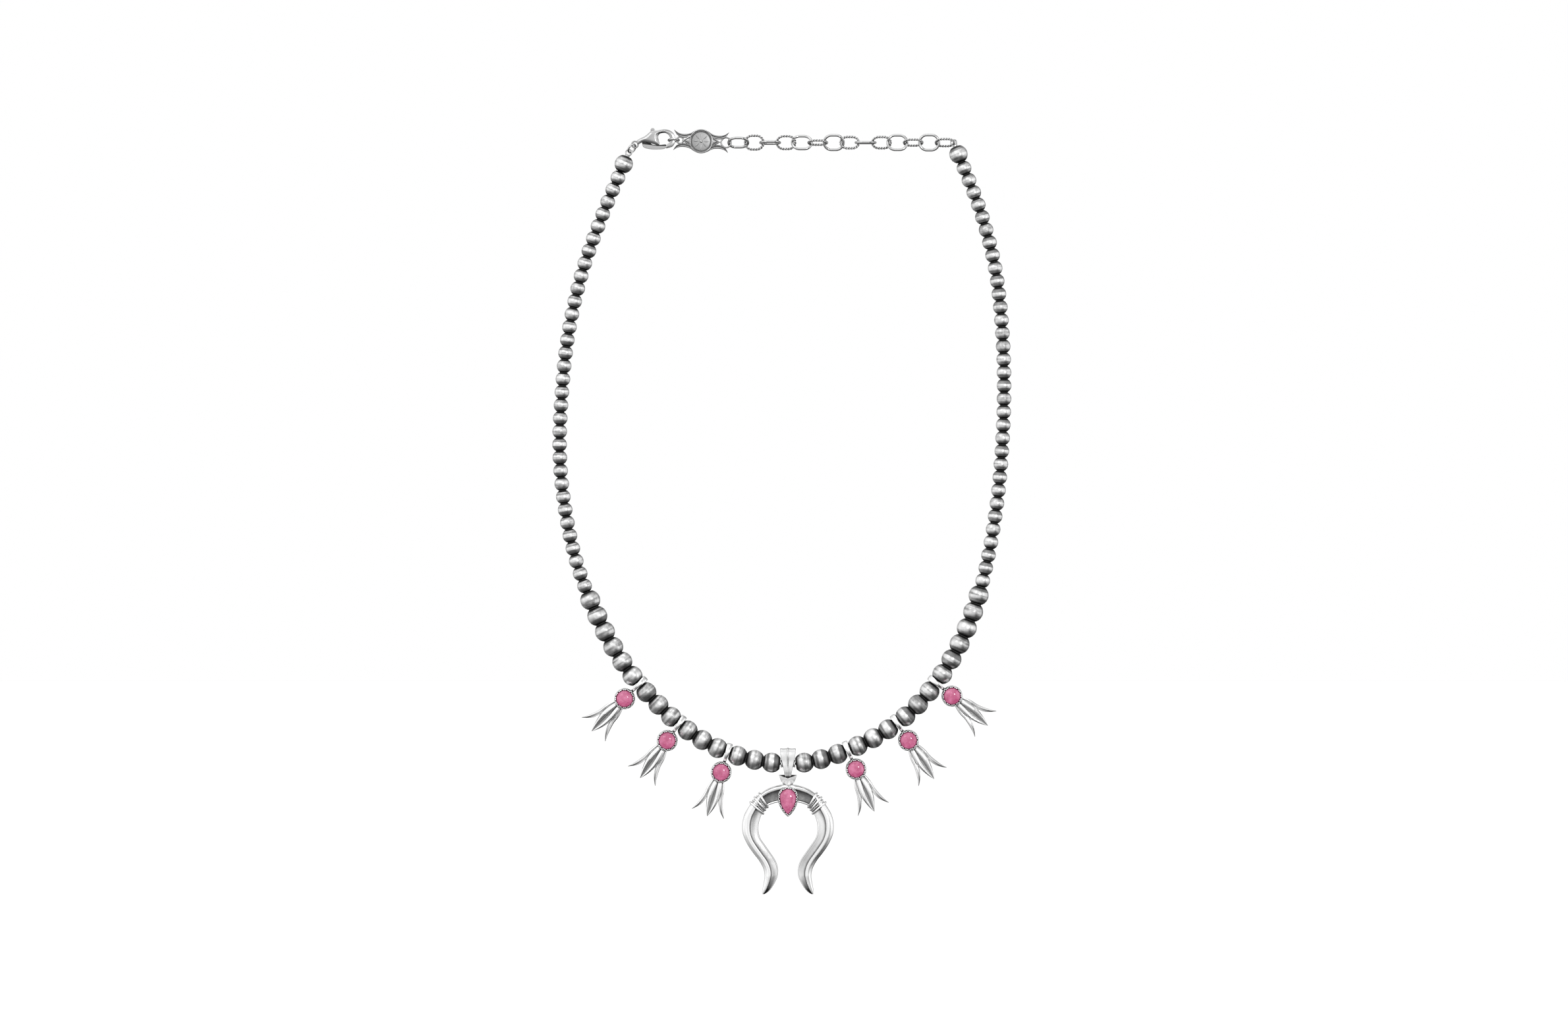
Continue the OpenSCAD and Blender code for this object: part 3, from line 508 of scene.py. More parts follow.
def bead_silver(name, dull, bright, buffed):
    """Oxidised bead: a buffed band round the middle, brushed round the axis, near black towards the bores, both oxide
    and painted shade where the beads meet.
    """
    g = Finish(name, Metallic=1.0)
    moved = g.shifted((37.0, 11.0, 0.0))
    up = g.math("ABSOLUTE", g.add("SeparateXYZ", [(0, g.attribute("own", "Vector"))])["Z"])
    bands = g.noise(g.stretched(moved, (0.05, 0.05, 1.0)), 0.95, 1.0, 0.4)
    streaks = g.noise(g.stretched(moved, (0.16, 0.16, 4.2)), 1.5, 5.0, 0.65)
    clouds = g.noise(moved, 0.62, 4.0, 0.6)
    level = g.plus(bands, g.times(g.spread(up, 1.25, 0.1), 0.13))
    level = g.plus(level, g.times(g.minus(streaks, 0.5), 0.22))
    level = g.plus(level, g.times(g.minus(clouds, 0.5), 0.34))
    worn = g.spread(level, buffed, buffed + 0.3)
    # rim darkens the ends towards the bores: oxide there, and painted shade where the beads meet
    rim = g.spread(up, 1.6, 2.3)
    base = g.blended(g.times(rim, 0.96), g.blended(worn, grey(dull), grey(bright)), grey(0.015))
    rough = g.plus(g.minus(0.42, g.times(worn, 0.14)), g.times(rim, 0.15))
    return g.give(Base_Color=base, Roughness=rough,
                  Normal=g.worn_normal(moved, (0.3, 0.3, 6.0), 2.5, 0.35, 0.05 * mm))


def rhodonite():
    """Polished pink stone with pale clouds and thin dark veins."""
    g = Finish("rhodonite", Roughness=0.16, Coat_Weight=0.6, Coat_Roughness=0.05, Subsurface_Weight=0.12,
               Subsurface_Scale=0.6 * mm, Subsurface_Radius=(1.0, 0.4, 0.5))
    moved = g.shifted((23.0, 41.0, 17.0))
    clouds = g.noise(moved, 0.42, 5.0, 0.6)
    flecks = g.noise(moved, 2.1, 4.0, 0.7)
    pink = g.blended(g.spread(clouds, 0.36, 0.66), (0.385, 0.06, 0.155, 1), (0.52, 0.138, 0.262, 1))
    pink = g.blended(g.times(g.spread(flecks, 0.52, 0.8), 0.4), pink, (0.68, 0.35, 0.45, 1))
    edges = g.add("TexVoronoi", (("Vector", moved), ("Scale", 0.2)), feature="DISTANCE_TO_EDGE")["Distance"]
    vein = g.times(g.spread(edges, 0.05, 0.0), g.spread(flecks, 0.42, 0.6))
    return g.give(Base_Color=g.blended(g.times(vein, 0.3), pink, (0.2, 0.035, 0.07, 1)))


def thread_finish():
    g = Finish("coated_bead_wire", Roughness=0.5)
    lay = g.noise(g.stretched(g.object_vector(), (3, 3, 3)), 2.0)
    return g.give(Base_Color=g.blended(lay, grey(0.015), grey(0.05)))


CAST = silver("cast_silver", bright=0.84, dark=0.035, polish=0.22, scale=2.0, strength=0.3)
WIRE = silver("drawn_silver_wire", bright=0.5, dark=0.035, polish=0.15, scale=4.0, strength=0.12, amount=0.9)
SATIN = silver("satin_silver", bright=0.42, dark=0.03, polish=0.27, scale=3.0, strength=0.2)
LARGE_BEAD = bead_silver("oxidised_bead_silver", dull=0.19, bright=0.7, buffed=0.37)
SMALL_BEAD = bead_silver("buffed_bead_silver", dull=0.24, bright=0.72, buffed=0.35)
PINK = rhodonite()
THREAD = thread_finish()

# ---------- camera, floor and studio light

# The photograph: millimetres in a pixel, pixels across, and its centre and floor in the frame
PIXEL, PIXELS_ACROSS, CENTRE, FLOOR_Z = 0.2, 2380, Vector((-1.4, 0, -111.8)), -229.0
FAR = 2.4


def stage():
    start()
    bpy.ops.object.camera_add(location=(CENTRE.x * mm, -FAR, CENTRE.z * mm), rotation=(radians(90), 0, 0))
    camera = bpy.context.object
    camera.data.lens = 36 * FAR / (PIXELS_ACROSS * PIXEL * mm)
    camera.data.clip_end = 50
    bpy.context.scene.camera = camera
    bpy.ops.mesh.primitive_grid_add(x_subdivisions=8, y_subdivisions=8, size=6, location=(0, 0, FLOOR_Z * mm))
    floor_ = bpy.context.object
    floor_.name = "studio_floor"
    g = Finish("pale_floor", Roughness=0.2, Specular_IOR_Level=0.6, Emission_Strength=0.3, Emission_Color=grey(1))
    made_of(floor_, g.give(Base_Color=g.blended(g.noise(g.object_vector(), 0.02), grey(0.9), grey(0.93))))
    floor_.visible_glossy = False
    tent()
    bpy.context.scene.view_settings.view_transform = "Standard"
    # Where each light stands, how wide and high it is, and its power, in metres and watts
    for name, place, size, power in (
            ("key_softbox", (-0.55, -0.75, 0.55), (0.5, 0.35), 0.9),
            ("side_strip", (0.8, -0.5, 0.1), (0.12, 0.7), 0.35),
            ("catchlight", (0.42, -1.05, 0.12), (0.16, 0.16), 1.6),
            ("top_softbox", (0.0, -0.1, 0.9), (0.9, 0.4), 1.2)):
        bpy.ops.object.light_add(type="AREA", location=place)
        lamp = bpy.context.object
        lamp.name = name
        lamp.data.shape = "RECTANGLE"
        lamp.data.size, lamp.data.size_y = size
        lamp.data.energy = power
        aim = Vector((0, 0, -0.12)) - Vector(place)
        lamp.rotation_euler = aim.to_track_quat("-Z", "Y").to_euler()


def tent():
    """White to the camera; the silver sees a tent, bright above and in front, dark low, behind and to the right."""
    world = bpy.data.worlds.new("studio")
    bpy.context.scene.world = world
    world.use_nodes = True
    g = Graph(world.node_tree)
    way = g.add("TexCoord")["Generated"]
    parts = g.add("SeparateXYZ", [(0, way)])
    strip = g.math("ABSOLUTE", g.minus(parts["X"], 0.56))
    light = g.minus(g.spread(parts["Z"], -0.85, 0.05, 0.22, 1.25), g.spread(strip, 0.34, 0.08, 0.0, 0.55))
    light = g.times(light, g.spread(g.noise(way, 2.6, 2.0), 0.36, 0.6, 0.75, 1.15))
    light = g.times(light, g.spread(parts["Y"], 0.15, 0.95, 1.0, 0.5))
    shade = g.add("CombineColor", enumerate([g.math("MAXIMUM", light, 0.08)] * 3))[0]
    seen = g.add("LightPath")["Is Camera Ray"]
    g.feed(g.tree.nodes["Background"].inputs[0], g.blended(seen, shade, grey(1)))


stage()

# ---------- beads

# Radius of the bores
HOLE = 0.5
# How much further than the solids the beads reach into the joints, as a share of their size
END_REACH = 0.02


def bead_shape(name, size, segments):
    """A ball cut flat at both ends, with its bore open and its edges rounded."""
    half = bead_len(size) / 2 + END_REACH * size[0]
    face = sqrt((size[0] / 2) ** 2 - half ** 2)
    start()
    bpy.ops.mesh.primitive_uv_sphere_add(segments=segments, ring_count=20, radius=size[0] / 2 * mm)
    piece = bpy.context.object
    for s in (-1, 1):
        edit(piece)
        bpy.ops.mesh.bisect(plane_co=(0, 0, s * half * mm), plane_no=(0, 0, s), use_fill=True, clear_outer=True)
        select_faces(piece, lambda c, n: s * n.z > 0.99 and s * c.z > (half - 0.001) * mm)
        bpy.ops.mesh.inset(thickness=(face - HOLE) * mm)
        bpy.ops.mesh.extrude_region_move(TRANSFORM_OT_translate={"value": (0, 0, -s * half * mm)})
        bpy.ops.mesh.delete(type="FACE")
    edit(piece)
    bpy.ops.mesh.remove_doubles(threshold=WELD)
    bpy.ops.mesh.normals_make_consistent(inside=False)
    close(round_edges(piece, 0.2 * mm, 3, 24), name, 50)
    return own_coordinates(piece, unit=size[0] / LARGE[0] * mm)


def joints():
    """Near-black washers that fill the joints between the beads, as painted shade where the beads' ends meet."""
    row = []
    for kind, size, gap in (("small", SMALL, SMALL_GAP), ("large", LARGE, LARGE_GAP)):
        r, t = size[1] * 0.445, (gap - 2 * END_REACH * size[0]) * 0.5 + 0.05
        half = [(0.3, -t), (r - 0.08, -t), (r, -t * 0.4)]
        model = turned("washer_model", half + [(x, -z) for x, z in half[::-1]], 16)
        for i in range(1, len(KINDS) - 1):
            if KINDS[i] == kind and KINDS[i + 1] in (kind, "large" if i < HALF else "small", "end"):
                row.append(copied(model, "washer", seat(KNOTS[i + 1], heading(KNOTS[i], KNOTS[i + 2]))))
        drop(model)
    dressed(joined(row, "joint_shade_washers"), THREAD, "thread")


def string_beads():
    for kind, size, segments, finish in (("small", SMALL, 24, SMALL_BEAD), ("large", LARGE, 32, LARGE_BEAD)):
        model = bead_shape(kind + "_bead_model", size, segments)
        for side in ("left", "right"):
            row = [copied(model, kind, on_string(i) @ Matrix.Rotation(random.uniform(0, 2 * pi), 4, "Z"),
                          random.random()) for i in places(kind, side)]
            dressed(joined(row, f"beads_{kind}_{side}"), finish, "oxidised_silver", f"{kind}_beads_{side}")
        drop(model)
    model = bead_shape("end_bead_model", END, 32)
    for side in ("left", "right"):
        i = places("end", side)[0]
        dressed(copied(model, "bead_end_" + side, on_string(i), random.random()), SMALL_BEAD, "oxidised_silver",
                "end_bead_" + side)
    drop(model)


string_beads()
joints()

# ---------- blossoms

DROP, STONE_R, BEZEL_R, RIM_Y, BACK_Y, GIRDLE_Y = 6.2, 2.6, 3.2, -2.4, 0.6, -1.7
BUD_L, BUD_W, SEPAL_L, SEPAL_OUT, SEPAL_W, PETAL_T = 14.1, 3.9, 13.3, 5.1, 1.6, 1.7
# From root to tip, in shares of length, (for a sepal) reach to the side, width and thickness
BUD = [(0.21, 0.33, 0.7), (0.27, 0.39, 0.85), (0.38, 0.46, 0.97), (0.5, 0.5, 1), (0.62, 0.47, 0.95),
       (0.74, 0.38, 0.8), (0.85, 0.26, 0.6), (0.94, 0.12, 0.35), (1, 0.015, 0.15)]
SEPAL = [(0.19, 0.25, 0.28, 0.5), (0.3, 0.34, 0.37, 0.62), (0.42, 0.41, 0.41, 0.75), (0.55, 0.45, 0.4, 0.85),
         (0.68, 0.53, 0.42, 0.9), (0.8, 0.65, 0.38, 0.8), (0.9, 0.8, 0.23, 0.6), (1, 1, 0.05, 0.3)]
# The plain back of a section, in shares of its half width and its thickness
PETAL_BACK = [(-0.7, 0.36, 0), (0.7, 0.36, 0)]
BAIL_IN_R, BAIL_T, BAIL_WIDE, BAIL_NARROW, BAIL_REACH = 2.4826, 0.5, 1.8, 0.9, 3.4
# A tooth's width and length, how high it is at its outer and inner end, and how far it leans over the stone
TOOTH_W, TOOTH_L, TOOTH_OUT, TOOTH_IN, TOOTH_LEAN = 0.3, 0.95, 0.58, 0.48, 26
STONE_DOME = 1.59


def leaf(name, rows, y, section):
    """Rows of [distance, reach to the side, half width, thickness]; section(t) of (share across, depth, dark)."""
    rows = curve(rows, 4)
    last = len(rows) - 1
    rings, shades = [], []
    for i, (u, v, half, t) in enumerate(rows):
        a, b = rows[max(i - 1, 0)], rows[min(i + 1, last)]
        d = Vector((b[0] - a[0], 0, b[1] - a[1])).normalized()
        side = Vector((-d.z, 0, d.x))
        cut = section(i / last)
        rings.append([Vector((u, y, v)) + side * (s * half) + Vector((0, e * t, 0)) for s, e, _ in cut])
        shades.append([k for _, _, k in cut])
    return lofted(name, rings, dark=lambda j, i: shades[j][i], smooth=42)


def bud_section(t):
    """Two lobes with a hollow between them that is widest at two thirds of the length."""
    open_ = 0.05 + 0.26 * max(0.0, sin(pi * min(1, t / 1.3))) ** 1.8
    deep = -0.34 + 0.12 * sin(pi * t)
    # The third number of each point is painted shade, deepest along the hollow between the lobes
    half = [(1, -0.02, 0), (0.96, -0.24, 0), (0.86, -0.43, 0), (mix(open_, 1, 0.52), -0.6, 0),
            (mix(open_, 1, 0.16), -0.55, 0), (open_, -0.44, 0.3), (open_ * 0.45, deep, 0.62)]
    return half + [(0, deep + 0.03, 0.7)] + mirror(half) + PETAL_BACK


def sepal_section(side):
    def cut(t):
        # Shade painted down the middle of the sepal, from halfway along to the tip
        shade = 0.75 * max(0.0, min(1.0, (t - 0.5) / 0.3))
        rows = [(1, -0.04, 0), (0.8, -0.34, 0), (0.42, -0.56, 0), (0.22, -0.56, 0), (0.05, -0.34, shade),
                (-0.5, -0.26, shade), (-0.78, -0.36, 0), (-0.95, -0.3, 0), (-1, -0.04, 0)] + PETAL_BACK
        return rows if side > 0 else mirror(rows)
    return cut


def round_outline(r, steps=48):
    return lambda by: [(x, z) for x, z, _ in circle(r + by, steps)]


def tooth_shape():
    start()
    bpy.ops.mesh.primitive_cube_add(size=1)
    piece = bpy.context.object
    for v in piece.data.vertices:
        v.co = (v.co.x * TOOTH_W * mm, v.co.y * TOOTH_L * mm, v.co.z * (TOOTH_OUT if v.co.y > 0 else TOOTH_IN) * mm)
    return close(round_edges(piece, 0.14 * mm, 3, 30), "tooth_model", 60)


def teeth_round(name, seats):
    """Pairs of teeth folded in over a stone: seats are (x, z, turn) on the wall's middle line."""
    model = tooth_shape()
    lean = Matrix.Rotation(radians(-TOOTH_LEAN), 4, "Z")
    row = [copied(model, "tooth", seat((x, RIM_Y + 0.3, z), -turn) @ lean) for x, z, turn in seats]
    drop(model)
    return joined(row, name)


def blossom_shape():
    """Bail, toothed bezel, bud and two sepals, hanging along X from the thread."""
    cut = [(1, 0), (1, 0.5), (0.85, 0.82), (0.4, 1)]
    cut += mirror(cut)
    rings = []
    for c, s, _ in circle(1, 44):
        w = mix(BAIL_WIDE, BAIL_NARROW, (1 + c) / 2) / 2
        extra = max(0, BAIL_REACH - BAIL_IN_R - BAIL_T) * max(0, c) ** 6
        radii = [(v, BAIL_IN_R + e * (BAIL_T + extra)) for v, e in cut]
        rings.append([(c * r, s * r, v * w) for v, r in radii])
    bail = lofted("bail", rings, closed=True, smooth=50)
    cup = bezelled("bezel", round_outline(BEZEL_R), [
        (0, BACK_Y), (0, RIM_Y + 0.8), (-0.03, RIM_Y + 0.55), (-0.14, RIM_Y + 0.4), (-0.3, RIM_Y + 0.4),
        (-0.4, RIM_Y + 0.7), (-0.4, BACK_Y - 0.5)])
    pairs = [radians(30 * k + d) for k in range(12) for d in (9.5, 20.5)]
    teeth = teeth_round("teeth", [(2.84 * cos(a), 2.84 * sin(a), a) for a in pairs])
    parts = [cup, teeth, leaf("bud", [(a * BUD_L, 0, b * BUD_W, c * PETAL_T) for a, b, c in BUD], -0.25, bud_section)]
    for side in (-1, 1):
        rows = [(a * SEPAL_L, side * b * SEPAL_OUT, c * SEPAL_W, d * PETAL_T * 0.8) for a, b, c, d in SEPAL]
        parts.append(leaf("sepal", rows, 0.1, sepal_section(side)))
    return joined([bail] + [move(piece, (DROP, 0, 0)) for piece in parts], "blossom_model")


def blossoms():
    model = blossom_shape()
    stone = move(cabochon("stone_model", round_outline(STONE_R), BACK_Y - 0.5, GIRDLE_Y, STONE_DOME), (DROP, 0, 0))
    for side in ("left", "right"):
        bails = places("bail", side)[::1 if side == "left" else -1]
        for k, (i, swing) in enumerate(zip(bails, SWINGS[side]), 1):
            place, tag = on_string(i, swing), f"{side}_{k}"
            dressed(copied(model, "blossom_dressed_" + tag, place), CAST, "silver", "blossom_" + tag)
            dressed(copied(stone, "cabochon_" + tag, place, random.random()), PINK, "stone", "stone_" + tag)
    drop(model)
    drop(stone)


blossoms()

# ---------- crescent pendant

NAJA_W, NAJA_H, NAJA_T, NAJA_DROP, SET_BACK = 27.9, 33.4, 2.6, 6.2, 0.25
# Outer and inner edge, from the middle of the arch to the tip, in shares of half the width and of the height
CRESCENT = [
    (0, 0, 0, 0.159), (0.16, 0.005, 0.12, 0.161), (0.317, 0.0216, 0.23, 0.168), (0.47, 0.048, 0.35, 0.181),
    (0.62, 0.093, 0.46, 0.203), (0.745, 0.143, 0.53, 0.24), (0.86, 0.208, 0.583, 0.287),
    (0.955, 0.28, 0.617, 0.327), (0.998, 0.365, 0.638, 0.374), (0.985, 0.45, 0.636, 0.43),
    (0.92, 0.52, 0.6, 0.49), (0.845, 0.576, 0.495, 0.555), (0.75, 0.632, 0.385, 0.62),
    (0.642, 0.69, 0.288, 0.68), (0.567, 0.742, 0.234, 0.73), (0.523, 0.79, 0.21, 0.78),
    (0.51, 0.84, 0.22, 0.83), (0.528, 0.89, 0.262, 0.88), (0.55, 0.94, 0.345, 0.94),
    (0.563, 0.975, 0.43, 0.98), (0.558, 1, 0.51, 1)]
FINE = 4
CRESCENT_FINE = curve(CRESCENT, FINE)
# The rows between which the wire bands lie
BAND_ROWS = (3.95, 5.45)
BAND_WIRE_R, TWIST_R = 0.42, 0.15
# Sections, as shares across, shares of the thickness towards the back, and how much shade is painted on each point
ARCH = [(1, 0.04, 0), (0.98, -0.2, 0), (0.92, -0.4, 0), (0.82, -0.53, 0), (0.68, -0.6, 0), (0.52, -0.57, 0),
        (0.42, -0.46, 0.1), (0.36, -0.26, 0.85), (0.0, -0.16, 0.72), (-0.6, -0.16, 0.72), (-0.7, -0.22, 0.8),
        (-0.76, -0.38, 0), (-0.88, -0.44, 0), (-0.97, -0.36, 0), (-1, 0.04, 0), (-0.75, 0.36, 0), (0.75, 0.36, 0)]
HORN_CUT = [(1, 0.04, 0), (0.97, -0.2, 0), (0.86, -0.4, 0), (0.66, -0.54, 0), (0.42, -0.6, 0), (0.2, -0.6, 0),
            (0.12, -0.59, 0), (0.06, -0.51, 0.5), (-0.2, -0.38, 1), (-0.6, -0.28, 1), (-0.8, -0.26, 0.6),
            (-0.86, -0.3, 0), (-0.93, -0.3, 0), (-0.98, -0.22, 0), (-1, 0.04, 0), (-0.75, 0.36, 0), (0.75, 0.36, 0)]
# How much shade is painted on the inner facet of the horns along the rows of the crescent, darker in the bend and at
# the tips, and the point at its edge, which carries a painted dark line along the ridge
FACET_SHADE = [(0, 0.07), (7, 0.07), (9, 0.16), (11, 0.42), (13, 0.5), (15, 0.28), (16.4, 0.12), (17.2, 0.5), (18.6, 1),
         (20, 1)]
FACET_EDGE = 7


def crescent_row(r):
    k = min(r * FINE, len(CRESCENT_FINE) - 1)
    i = min(int(k), len(CRESCENT_FINE) - 2)
    return [mix(a, b, k - i) for a, b in zip(CRESCENT_FINE[i], CRESCENT_FINE[i + 1])]


def crescent_edges(r, side):
    e = crescent_row(r)
    return [Vector((side * e[k] * NAJA_W / 2, 0, -NAJA_DROP - e[k + 1] * NAJA_H)) for k in (0, 2)]


def crescent_ring(r, side, grow, t, cut):
    outer, inner = crescent_edges(r, side)
    half = (outer - inner) / 2
    return [(outer + inner) / 2 + half * (s[0] * grow) + Vector((0, SET_BACK + s[1] * t, 0)) for s in cut]


def crescent_shape():
    last = len(CRESCENT) - 1
    rows = [(k / FINE, 1) for k in range(last * FINE, 0, -1)] + [(k / FINE, -1) for k in range(last * FINE + 1)]
    rings, shades = [], []
    for r, side in rows:
        # The framed hollow of the arch turns into the plain facet of the horns under the wire bands
        h = max(0.0, min(1.0, (r - 4.2) / 0.8))
        # The painted shade of the horns' facet, which takes over from the arch's under the wire bands
        shade = mix(1, read(FACET_SHADE, r), h)
        cut = [(s, e, k * shade if n != FACET_EDGE else 0.85) for n, (s, e, k) in enumerate(mixed(ARCH, HORN_CUT, h))]
        fade = mix(0.35, 1, min(1, (last - r) / 4))
        rings.append(crescent_ring(r, side, 1, NAJA_T * fade, cut))
        shades.append([k for _, _, k in cut])
    return lofted("crescent", rings, dark=lambda j, i: shades[j][i], smooth=33)


def band_wires(side):
    """Three round wires across each shoulder, with a fine twisted wire in each gap."""
    parts = []
    for k in range(5):
        r = mix(BAND_ROWS[0], BAND_ROWS[1], k / 4)
        swell, deep = ((1.12, 0.54), (1.04, 0.6))[k % 2]
        path = crescent_ring(r, side, swell, NAJA_T * swell,
                             [(x, deep * y) for x, y, _ in circle(1, 36)])
        across = crescent_ring(r + 0.1, side, 1, 0, [(0, 0)])[0] - crescent_ring(r - 0.1, side, 1, 0, [(0, 0)])[0]
        if k % 2:
            for phase in (0, pi):
                offs = [(TWIST_R * cos(phase + i * pi / 3), TWIST_R * sin(phase + i * pi / 3)) for i in range(72)]
                fine_path = [path[i // 2].lerp(path[(i // 2 + 1) % 36], (i % 2) / 2) for i in range(72)]
                parts.append(swept("twist", fine_path, across,
                                   lambda i, o=offs: [(o[i][0] + x, o[i][1] + y) for x, y, _ in circle(TWIST_R, 6)]))
        else:
            parts.append(swept("wire", path, across, round_wire(BAND_WIRE_R, 10)))
    return parts


# The bail from the side, from its front end to its top, in shares of its rise, and how wide it has grown
NAJA_BAIL = [(-0.05, -1.17, -0.25), (-0.12, -0.8, 0), (-0.2, -0.5, 0.18), (-0.24, -0.15, 0.4), (-0.245, 0.2, 0.62),
             (-0.28, 0.55, 0.85), (-0.25, 0.82, 0.96), (-0.14, 0.96, 1), (0, 1, 1)]
BAIL_RISE, NAJA_BAIL_T, NAJA_BAIL_W, NAJA_BAIL_END = 4.3, 0.7, 4.8, 2.0
BAIL_HALF = [(1, 0.36), (0.95, 0.54), (0.87, 0.54), (0.5, 0.46), (0.14, 0.56), (0.04, 0.86)]
BAIL_CUT = [(-1, 0), (1, 0)] + BAIL_HALF + mirror(BAIL_HALF)


def naja_bail():
    rows = [(a * BAIL_RISE, b * BAIL_RISE, mix(NAJA_BAIL_END, NAJA_BAIL_W, c)) for a, b, c in NAJA_BAIL]
    half = curve(rows, 4)
    whole = half + mirror(half[:-1])
    rings = []
    for i, (y, z, w) in enumerate(whole):
        a, b = whole[max(i - 1, 0)], whole[min(i + 1, len(whole) - 1)]
        d = hypot(b[0] - a[0], b[1] - a[1])
        out = (-(b[1] - a[1]) / d, (b[0] - a[0]) / d)
        rings.append([(s * w / 2, y + out[0] * e * NAJA_BAIL_T, z + out[1] * e * NAJA_BAIL_T) for s, e in BAIL_CUT])
    # Shade is painted over the top half of the bail, darkest where it turns over at the top
    return lofted("pendant_bail", rings, dark=lambda j, i: 0.8 * max(0.0, whole[j][1] / BAIL_RISE - 0.5), smooth=30)


def cup_shape():
    """Four-sided arrowhead with a ridge in front and a hollow top, its rim sloping down to the front corner."""
    top, wide, slope = -3.4, 2.8, 0.4
    layers = [(0.02, 3.68), (0.3, 3.7), (0.52, 2.9), (0.76, 1.9), (0.9, 0.9), (1, 0), (0.87, 0), (0.5, 1.2), (0.1, 1.5)]
    rings = []
    for k, low in layers:
        corners = [(wide * k * x, wide * k * y) for x, y in ((1, 0), (0, 1), (-1, 0), (0, -1))]
        cut = slope * max(0, 1 - low / 1.9) ** 0.5
        rings.append([(x, y, top - low - cut * max(0, -y)) for x, y in corners])
    # Rings past the corner's point are the hollow top's inner walls, which are painted in shade
    return round_edges(lofted("arrowhead_cup", rings, dark=lambda j, i: (j > 5) * 0.95, smooth=30), 0.06 * mm, 2, 20)


PEAR_R, PEAR_REACH = 2.5, 5.3
# Radius of the arcs that run from the round end to the point
PEAR_SIDE = (PEAR_REACH ** 2 + PEAR_R ** 2) / (2 * PEAR_R)
PEAR_Z, PEAR_RIM, PEAR_GIRDLE = -10.0, -3.1, -2.5


def pear_outline(by):
    r, shift = PEAR_SIDE + by, PEAR_SIDE - PEAR_R
    sweep = acos(shift / r)
    round_ = [((PEAR_R + by) * cos(radians(9 * k)), (PEAR_R + by) * sin(radians(9 * k))) for k in range(21)]
    left = [(shift - r * cos(sweep * k / 14), -r * sin(sweep * k / 14)) for k in range(1, 15)]
    return round_ + left + mirror(left[:-1])


def pear_seats(by, count):
    """Places round the pear, equally far apart, in pairs."""
    line = pear_outline(by)
    line.append(line[0])
    runs = running(line)
    seats = []
    for k in range(count):
        for d in (0.31, 0.69):
            i, t = between(runs, (k + d) / count * runs[-1])
            (ax, az), (bx, bz) = line[i], line[i + 1]
            seats.append((mix(ax, bx, t), mix(az, bz, t), atan2(az - bz, ax - bx) + pi / 2))
    return seats


def pendant():
    parts = [crescent_shape(), naja_bail(), cup_shape()]
    for side in (-1, 1):
        parts += band_wires(side)
    half = [(HOLE, -2.2), (1.0, -2.2), (1.12, -2.1), (1.12, -1.86), (0.98, -1.8), (0.98, -1.66), (1.15, -1.56)]
    sleeve = turned("sleeve", half + [(r, -z) for r, z in half[::-1]], 32, closed=True)
    sleeve.data.transform(Matrix.Rotation(pi / 2, 4, "Y"))
    cup = bezelled("pear_bezel", pear_outline, [
        (0.6, 0), (0.6, PEAR_RIM + 0.8), (0.57, PEAR_RIM + 0.55), (0.46, PEAR_RIM + 0.4), (0.3, PEAR_RIM + 0.4),
        (0.2, PEAR_RIM + 0.7), (0.2, -1.0)])
    teeth = move(teeth_round("pear_teeth", pear_seats(0.26, 14)), (0, PEAR_RIM - RIM_Y, 0))
    parts += [sleeve] + [move(piece, (0, 0, PEAR_Z)) for piece in (cup, teeth)]
    whole = move(joined(parts, "crescent_dressed"), NAJA_AT)
    dressed(whole, CAST, "silver", "naja", body="pendant")
    stone = cabochon("pear_cabochon", pear_outline, -1.1, PEAR_GIRDLE, STONE_DOME, centre=(0, -1.0), tone=0.35)
    move(stone, NAJA_AT + Vector((0, 0, PEAR_Z)))
    dressed(stone, PINK, "stone", "pear_stone", body="pendant")


pendant()

# ---------- clasp

# Outlines from the side, and half thicknesses seen from above, in shares of the clasp's length
CLASP_SIDE = [
    (0.074, 0), (0.052, 0.098), (0.26, 0.213), (0.385, 0.32), (0.45, 0.342), (0.557, 0.35), (0.72, 0.377),
    (0.82, 0.365), (0.9, 0.33), (0.97, 0.26), (1, 0.156), (0.99, 0.033), (0.934, -0.05), (0.85, -0.08), (0.765, -0.09),
    (0.792, 0), (0.82, 0.016), (0.865, 0.07), (0.877, 0.14), (0.844, 0.23), (0.785, 0.275), (0.72, 0.287),
    (0.623, 0.27), (0.578, 0.213), (0.582, 0.131), (0.607, 0.033), (0.574, -0.016), (0.344, 0.045), (0.197, 0.06)]
CLASP_TOP = [(0.03, 0.26), (0.16, 0.41), (0.37, 0.5), (0.57, 0.46), (0.74, 0.3), (0.87, 0.2), (1.02, 0.17)]
CLASP_SLOT = [(0.15, -0.2), (0.15, 0.15), (0.27, 0.24), (0.27, 0.5), (0.515, 0.5), (0.515, 0.22), (0.66, 0.2),
              (0.66, -0.2)]
LEVER_SIDE = [
    (0.18, 0.13), (0.18, 0.016), (0.215, -0.07), (0.37, -0.115), (0.575, -0.122), (0.745, -0.1), (0.773, -0.004),
    (0.62, -0.01), (0.43, 0), (0.375, 0.1), (0.435, 0.21), (0.485, 0.32), (0.41, 0.34), (0.345, 0.27), (0.29, 0.205),
    (0.23, 0.197)]
CLASP_PIN, LEVER_KNOB, KNOB_R = (0.262, 0.123), (0.44, 0.355), 0.66
CLASP_L, CLASP_T, SLOT_HALF, LEVER_HALF, PIN_HALF = 12.2, 2.8, 0.55, 0.5, 0.9
# How fine the cast forms are skinned, and how far in from its outline the body swells
CAST_GRAIN, SWELL_REACH = 0.07, 1.1


def slab(line, half):
    """An outline in XZ made solid, with a millimetre as its unit."""
    piece = lofted("slab", [[(x, y, z) for x, z in line] for y in (-half, half)], smooth=0)
    piece.data.transform(Matrix.Scale(1 / mm, 4))
    return piece


